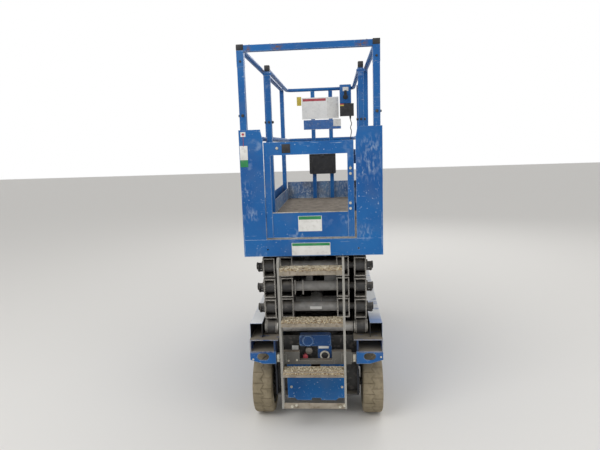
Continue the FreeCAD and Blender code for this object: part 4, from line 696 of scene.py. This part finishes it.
# Gate: a blue pressed frame with hinge bolts on its right stile, a lock bolt and a blank
# black plate on its bar, and a kick plate whose rolled top edge is rubbed to bare metal.
GATE_FACE, KICK_FACE = -1.1240, -1.1200
form = bmesh.new()
for x, z in ((0.224, 1.569), (0.224, 1.538), (0.221, 1.370), (0.221, 1.339), (-0.190, 1.692)):
    bolt(form, (x, GATE_FACE, z), (0, -1, 0), 0.012)
piece("gate_bolts", form, pale_zinc, "gate", "pin_steel")
form = bmesh.new()
slab(form, (-0.162, GATE_FACE - 0.0022, 1.664), (-0.114, GATE_FACE, 1.714), 0.0008)
piece("gate_blank_plate", form, black_plastic, "gate", "black_plastic")
form = bmesh.new()
slab(form, (-0.2305, -1.1212, 1.3190), (0.2075, -1.1148, 1.3235), 0.0018)
piece("kick_plate_hem", form, threshold, "gate", "deck_steel")
form = bmesh.new()
label(form, (-0.082, 1.210), (0.055, 1.300), KICK_FACE)
piece("kick_label", form, white_film, "gate", "board_white")
form = bmesh.new()
label(form, (-0.079, 1.279), (0.052, 1.298), KICK_FACE - 0.0006, 0.0003, 0.0001)
piece("kick_label_band", form, green_film, "gate", "board_white")

# Corner panels: flat blue sheet with scuffs; a hanging paper tag with a green foot and a
# small blank sticker with a red spot on the left one, tied with a red string.
form = bmesh.new()
label(form, (-0.394, 1.762), (-0.365, 1.789), SHEET_FACE)
slab(form, (-0.402, -1.1316, 1.631), (-0.357, -1.1302, 1.711), 0.0004)
piece("corner_tag", form, white_film, "platform", "board_white")
form = bmesh.new()
slab(form, (-0.402, -1.1318, 1.591), (-0.357, -1.1302, 1.631), 0.0004)
piece("corner_tag_foot", form, green_film, "platform", "board_white")
form = bmesh.new()
disc(form, (-0.3795, -1.1309, 1.7755), (0, -1, 0), 0.007, 0.0008, 20)
disc(form, (-0.3795, -1.1312, 1.735), (0, 0.02, 1), 0.0012, 0.058, 8)
piece("corner_red_spot_and_tie", form, red_plastic, "platform", "red_plastic")

# Guard rail fittings: black caps and sleeved tops on the folding posts, pivot bolts and
# T-shaped pull knobs where the posts hinge.


def collar(form, x, y, half, low, high, soft, segments=2):
    """A square block round a post, half as wide each way, between two heights."""
    slab(form, (x - half, y - half, low), (x + half, y + half, high), soft, segments)


for name, body, spots, half, foot, cap_low, cap_high, pivot_z in (
        ("main", "platform", [(0.376, -1.107), (-0.376, -1.107)], 0.0195, 2.145, 2.234, 2.2665, 1.880),
        ("out", "roll_out_deck", [(0.327, -0.343), (-0.327, -0.343)], 0.0185, 2.150, 2.2235, 2.2665, 1.874)):
    caps, sleeves, pins = bmesh.new(), bmesh.new(), bmesh.new()
    for x, y in spots:
        side = 1 if x > 0 else -1
        if name == "main":
            collar(caps, x, y, half + 0.0012, cap_low, cap_high, 0.003)
            collar(sleeves, x, y, half + 0.0008, foot, cap_low, 0.0006, 1)
            bolt(pins, (x + side * half, y, pivot_z), (side, 0, 0), 0.013)
            bolt(pins, (x, y - half, pivot_z), (0, -1, 0), 0.013)
            bolt(pins, (x, y - half, foot + 0.03), (0, -1, 0), 0.010)
        else:
            slab(caps, (x - half, y - half - 0.004, cap_low), (x + half, y + half + 0.004, cap_high), 0.004)
            # A collar with short wings under the cap
            collar(sleeves, x, y, half + 0.0015, foot, 2.2205, 0.003)
            slab(sleeves, (x - 0.030, y - half - 0.003, 2.198), (x + 0.030, y - half + 0.004, 2.214), 0.002)
            bolt(pins, (x, y - 0.0192, pivot_z), (0, -1, 0), 0.013)
            for way in (1, -1):
                disc(pins, (x + way * 0.026, y, pivot_z), (way, 0, 0), 0.010, 0.014, 24, 0.8, 0.002)
    piece("%s_post_caps" % name, caps, black_plastic, body, "black_plastic")
    piece("%s_post_sleeves" % name, sleeves, blue_enamel, body, "blue_paint")
    piece("%s_post_pivots" % name, pins, keeper_enamel_and_recess_shade, body, "pin_steel")
form = bmesh.new()
for x in (0.324, 0.208, -0.324, -0.208):
    bolt(form, (x, -1.107, 2.262), (0, 0, 1), 0.0095)
piece("rear_rail_bolts", form, zinc, "platform", "pin_steel")

# Boards on the front rail: white printed plastic sheet with a red band along the top, a
# blue strip below, a small white sheet over it and a yellow tag, all left blank.
board_coat = plain_stuff("white_printed_board", "#E4E4E2", "#EDECE9", "#B9B7B2", 0.4, 0.0, 0.002, 0.0002,
                         dusty=0.2, stained=0.25)
coat(board_coat, "notice_boards")
blue_film = film("blue_vinyl_film", "#2C5E9E", "#3A6CAB", "#8C9196")
yellow_film = film("yellow_vinyl_film", "#C9B23A", "#D8C455", "#8E875B")
BOARD_FACE, MODULE_FACE, BOX_FACE = 1.0770, 1.0110, 1.0080
form = bmesh.new()
label(form, (-0.170, 2.128), (0.056, 2.152), BOARD_FACE, 0.0012)
label(form, (0.194, 2.0775), (0.231, 2.0885), MODULE_FACE, 0.0012)
piece("board_red_band", form, red_plastic, "roll_out_deck", "board_white")
form = bmesh.new()
label(form, (-0.166, 1.8555), (0.199, 1.9460), BOARD_FACE, 0.0014)
piece("board_blue_strip", form, blue_film, "roll_out_deck", "board_white")
form = bmesh.new()
label(form, (0.069, 1.968), (0.179, 2.152), BOARD_FACE, 0.0012)
label(form, (0.125, 1.880), (0.199, 1.950), BOARD_FACE - 0.0014, 0.0016, 0.0003)
label(form, (0.222, 2.206), (0.277, 2.243), BOX_FACE, 0.0012, 0.0003)
piece("board_small_sheets", form, white_film, "roll_out_deck", "board_white")
form = bmesh.new()
label(form, (-0.228, 2.088), (-0.184, 2.173), BOARD_FACE - 0.0013, 0.0012, 0.0003)
label(form, (0.194, 2.0665), (0.231, 2.0775), MODULE_FACE, 0.0012)
piece("board_yellow_tags", form, yellow_film, "roll_out_deck", "board_white")

# Controls: a folded blue steel box hung on the rail, with a ribbed rubber boot and an
# upright grip on its face, over a black moulded module with a slotted front.
form = bmesh.new()
slab(form, (0.192, 1.008, 2.090), (0.302, 1.070, 2.268), 0.007, 3)
slab(form, (0.227, 1.070, 2.232), (0.267, 1.084, 2.248), 0.001, 1)
piece("control_housing", form, blue_enamel, "roll_out_deck", "blue_paint", "control_box")
STICK_X = 0.247
boot_rubber = plain_stuff("black_boot_rubber", "#141414", "#1E1E1F", "#45423C", 0.75, 0.0, 0.002, 0.0004)
form = bmesh.new()
for ring in range(4):
    disc(form, (STICK_X, 1.0065 - ring * 0.0035, 2.150), (0, -1, 0), 0.024 - ring * 0.003, 0.0033, 32, 0.93,
         0.0008)
disc(form, (STICK_X, 0.982, 2.150), (0, -1, 0), 0.008, 0.034, 20)
disc(form, (STICK_X, 0.966, 2.167), (0, 0, 1), 0.015, 0.082, 28, 0.86, 0.004)
slab(form, (0.241, 0.948, 2.176), (0.253, 0.956, 2.200), 0.002)
piece("control_stick", form, boot_rubber, "roll_out_deck", "black_plastic", "control_box")
form = bmesh.new()
for row in range(5):
    slab(form, (0.214, 1.0090, 1.985 + row * 0.013), (0.304, 1.0112, 1.991 + row * 0.013), 0.0008, 1)
disc(form, (0.302, 1.0088, 2.070), (0, -1, 0), 0.009, 0.006, 24, 0.8, 0.001)
piece("module_ribs_and_knob", form, black_plastic, "roll_out_deck", "black_plastic")
form = bmesh.new()
for spot, way in ((GLAND, -1), (SOCKET_TOP, 1)):
    disc(form, spot + Vector((0, 0, way * 0.010)), (0, 0, way), 0.0085, 0.020, 24, 0.62, 0.0008)
piece("lead_reliefs", form, boot_rubber, "roll_out_deck", "black_plastic")
coat(black_plastic, "control_module", "manual_box", "battery_block", "lead_socket")

# Box for papers: black moulded plastic with a lid that overlaps it, a snap latch in the
# middle and two thin ribs down its front.
form = bmesh.new()
slab(form, (-0.1185, 1.0265, 1.596), (0.1405, 1.0800, 1.6248), 0.003)
slab(form, (-0.010, 1.0235, 1.582), (0.032, 1.0285, 1.606), 0.0015)
for x in (-0.085, 0.107):
    slab(form, (x - 0.004, 1.0262, 1.428), (x + 0.004, 1.0292, 1.590), 0.001)
piece("papers_box_lid", form, black_plastic, "roll_out_deck", "black_plastic")

# Decks: steel sheet, its paint long gone under boots, brown-grey with stains; the toe
# boards beside them are kicked down to primer, grey-blue and white.
deck_coat = plain_stuff("walked_deck_steel", "#5D4F41", "#8C8072", "#3B3027", 0.72, 0.15, 0.02, 0.001,
                        dusty=0.6, stained=0.8)
coat(deck_coat, "platform_floor", "out_deck")
toe_paint = worn_paint("blue_enamel_kicked_to_primer", "#33588A", "#6C89A8", "#CFD4D6", "#7B766C",
                       roughness=0.6, rubbed=0.95, scuffed=2.0, dusty=0.9, edge=0.008, grimed=0.5, rubs=(
                           (-0.349, 0.4, 1.23, 1.6), (0.0, 1.12, 1.25, 0.9), (0.349, 0.4, 1.23, 1.6)))
coat(toe_paint, "out_toe_boards")

# Side covers: blue enamel gone white on the flat top with dust and sun, the left one along
# its whole length and the right one at its far end; their hollow insides are painted black as shade.
cover_paint, nodes, spot = canvas("blue_enamel_bleached_on_top_with_painted_shade_inside")
cloud = patches(nodes, spot, 0.35, 0.35, 0.65)
colour = add(nodes, "Mix", {"Factor": cloud, 6: tone(FRESH), 7: tone(FADED)}, **OVER)
across, along, height = [add(nodes, "SeparateXYZ", {"Vector": spot}, axis) for axis in "XYZ"]
far = add(nodes, "MapRange", {"Value": along, "From Min": -1.04, "From Max": -0.90, "To Min": 0.10})
left = add(nodes, "Math", {0: across, 1: 0}, operation="LESS_THAN")
most = add(nodes, "Math", {0: far, 1: left}, operation="MAXIMUM")
film = lying(nodes, patches(nodes, spot, 0.10, 0.20, 0.42, most, 8))
colour = add(nodes, "Mix", {"Factor": film, 6: colour, 7: tone("#ECEEEF")}, **OVER)
worn = rims(nodes, 0.005, patches(nodes, spot, 0.05, 0.30, 0.50, 0.9, 6))
colour = add(nodes, "Mix", {"Factor": worn, 6: colour, 7: tone("#C6D0DA")}, **OVER)
# The walls and inside of each cover's hollow, below its top, painted near black: painted shade.
reach = add(nodes, "Math", {0: across}, operation="ABSOLUTE")
within = add(nodes, "Math", {0: reach, 1: 0.3600, 2: 0.0385}, operation="COMPARE")
below = add(nodes, "Math", {0: height, 1: 0.641}, operation="LESS_THAN")
inside = add(nodes, "Math", {0: within, 1: below}, operation="MULTIPLY")
colour = add(nodes, "Mix", {"Factor": inside, 6: colour, 7: tone("#1B1B1C")}, **OVER)
rough = add(nodes, "MapRange", {"Value": film, "To Min": 0.42, "To Max": 0.85})
bump = add(nodes, "Bump", {"Height": patches(nodes, spot, 0.005, 0.2, 0.8, detail=2), "Strength": 0.3,
                           "Distance": 0.0006})
skin = add(nodes, "BsdfPrincipled", {"Base Color": colour, "Roughness": rough, "Normal": bump})
add(nodes, "OutputMaterial", {"Surface": skin})
coat(cover_paint, "side_covers")

# Side channels and trays: a row of zinc screws along each channel and two plain turn
# latches on each tray.  The lift cylinder's rod is hard chromed.
chrome = plain_stuff("hard_chromed_steel", "#C9CACA", "#D6D7D7", "#8D8A84", 0.14, 1.0, 0.01, 0.0001,
                     dusty=0.2, stained=0.3)
coat(chrome, "lift_rod")
SIDES = ((1, "right"), (-1, "left"))
for side, word in SIDES:
    form = bmesh.new()
    for y in (-0.98, -0.60, -0.20, 0.20, 0.60, 0.98):
        disc(form, (side * 0.4008, y, 0.513), (side, 0, 0), 0.0105, 0.0016, 24)
        disc(form, (side * 0.4024, y, 0.513), (side, 0, 0), 0.0070, 0.0020, 24, 0.8, 0.0006)
    piece("channel_bolts_" + word, form, zinc, "chassis", "pin_steel")
for side, word in SIDES:
    low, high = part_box("module_tray_" + word)
    face = high.x if side > 0 else low.x
    form = bmesh.new()
    for share in (0.12, 0.88):
        y = low.y + (high.y - low.y) * share
        disc(form, (face - side * 0.0010, y, high.z - 0.05), (side, 0, 0), 0.011, 0.003, 24, soft=0.0006)
    piece("tray_latches_" + word, form, zinc, "module_" + word, "pin_steel")
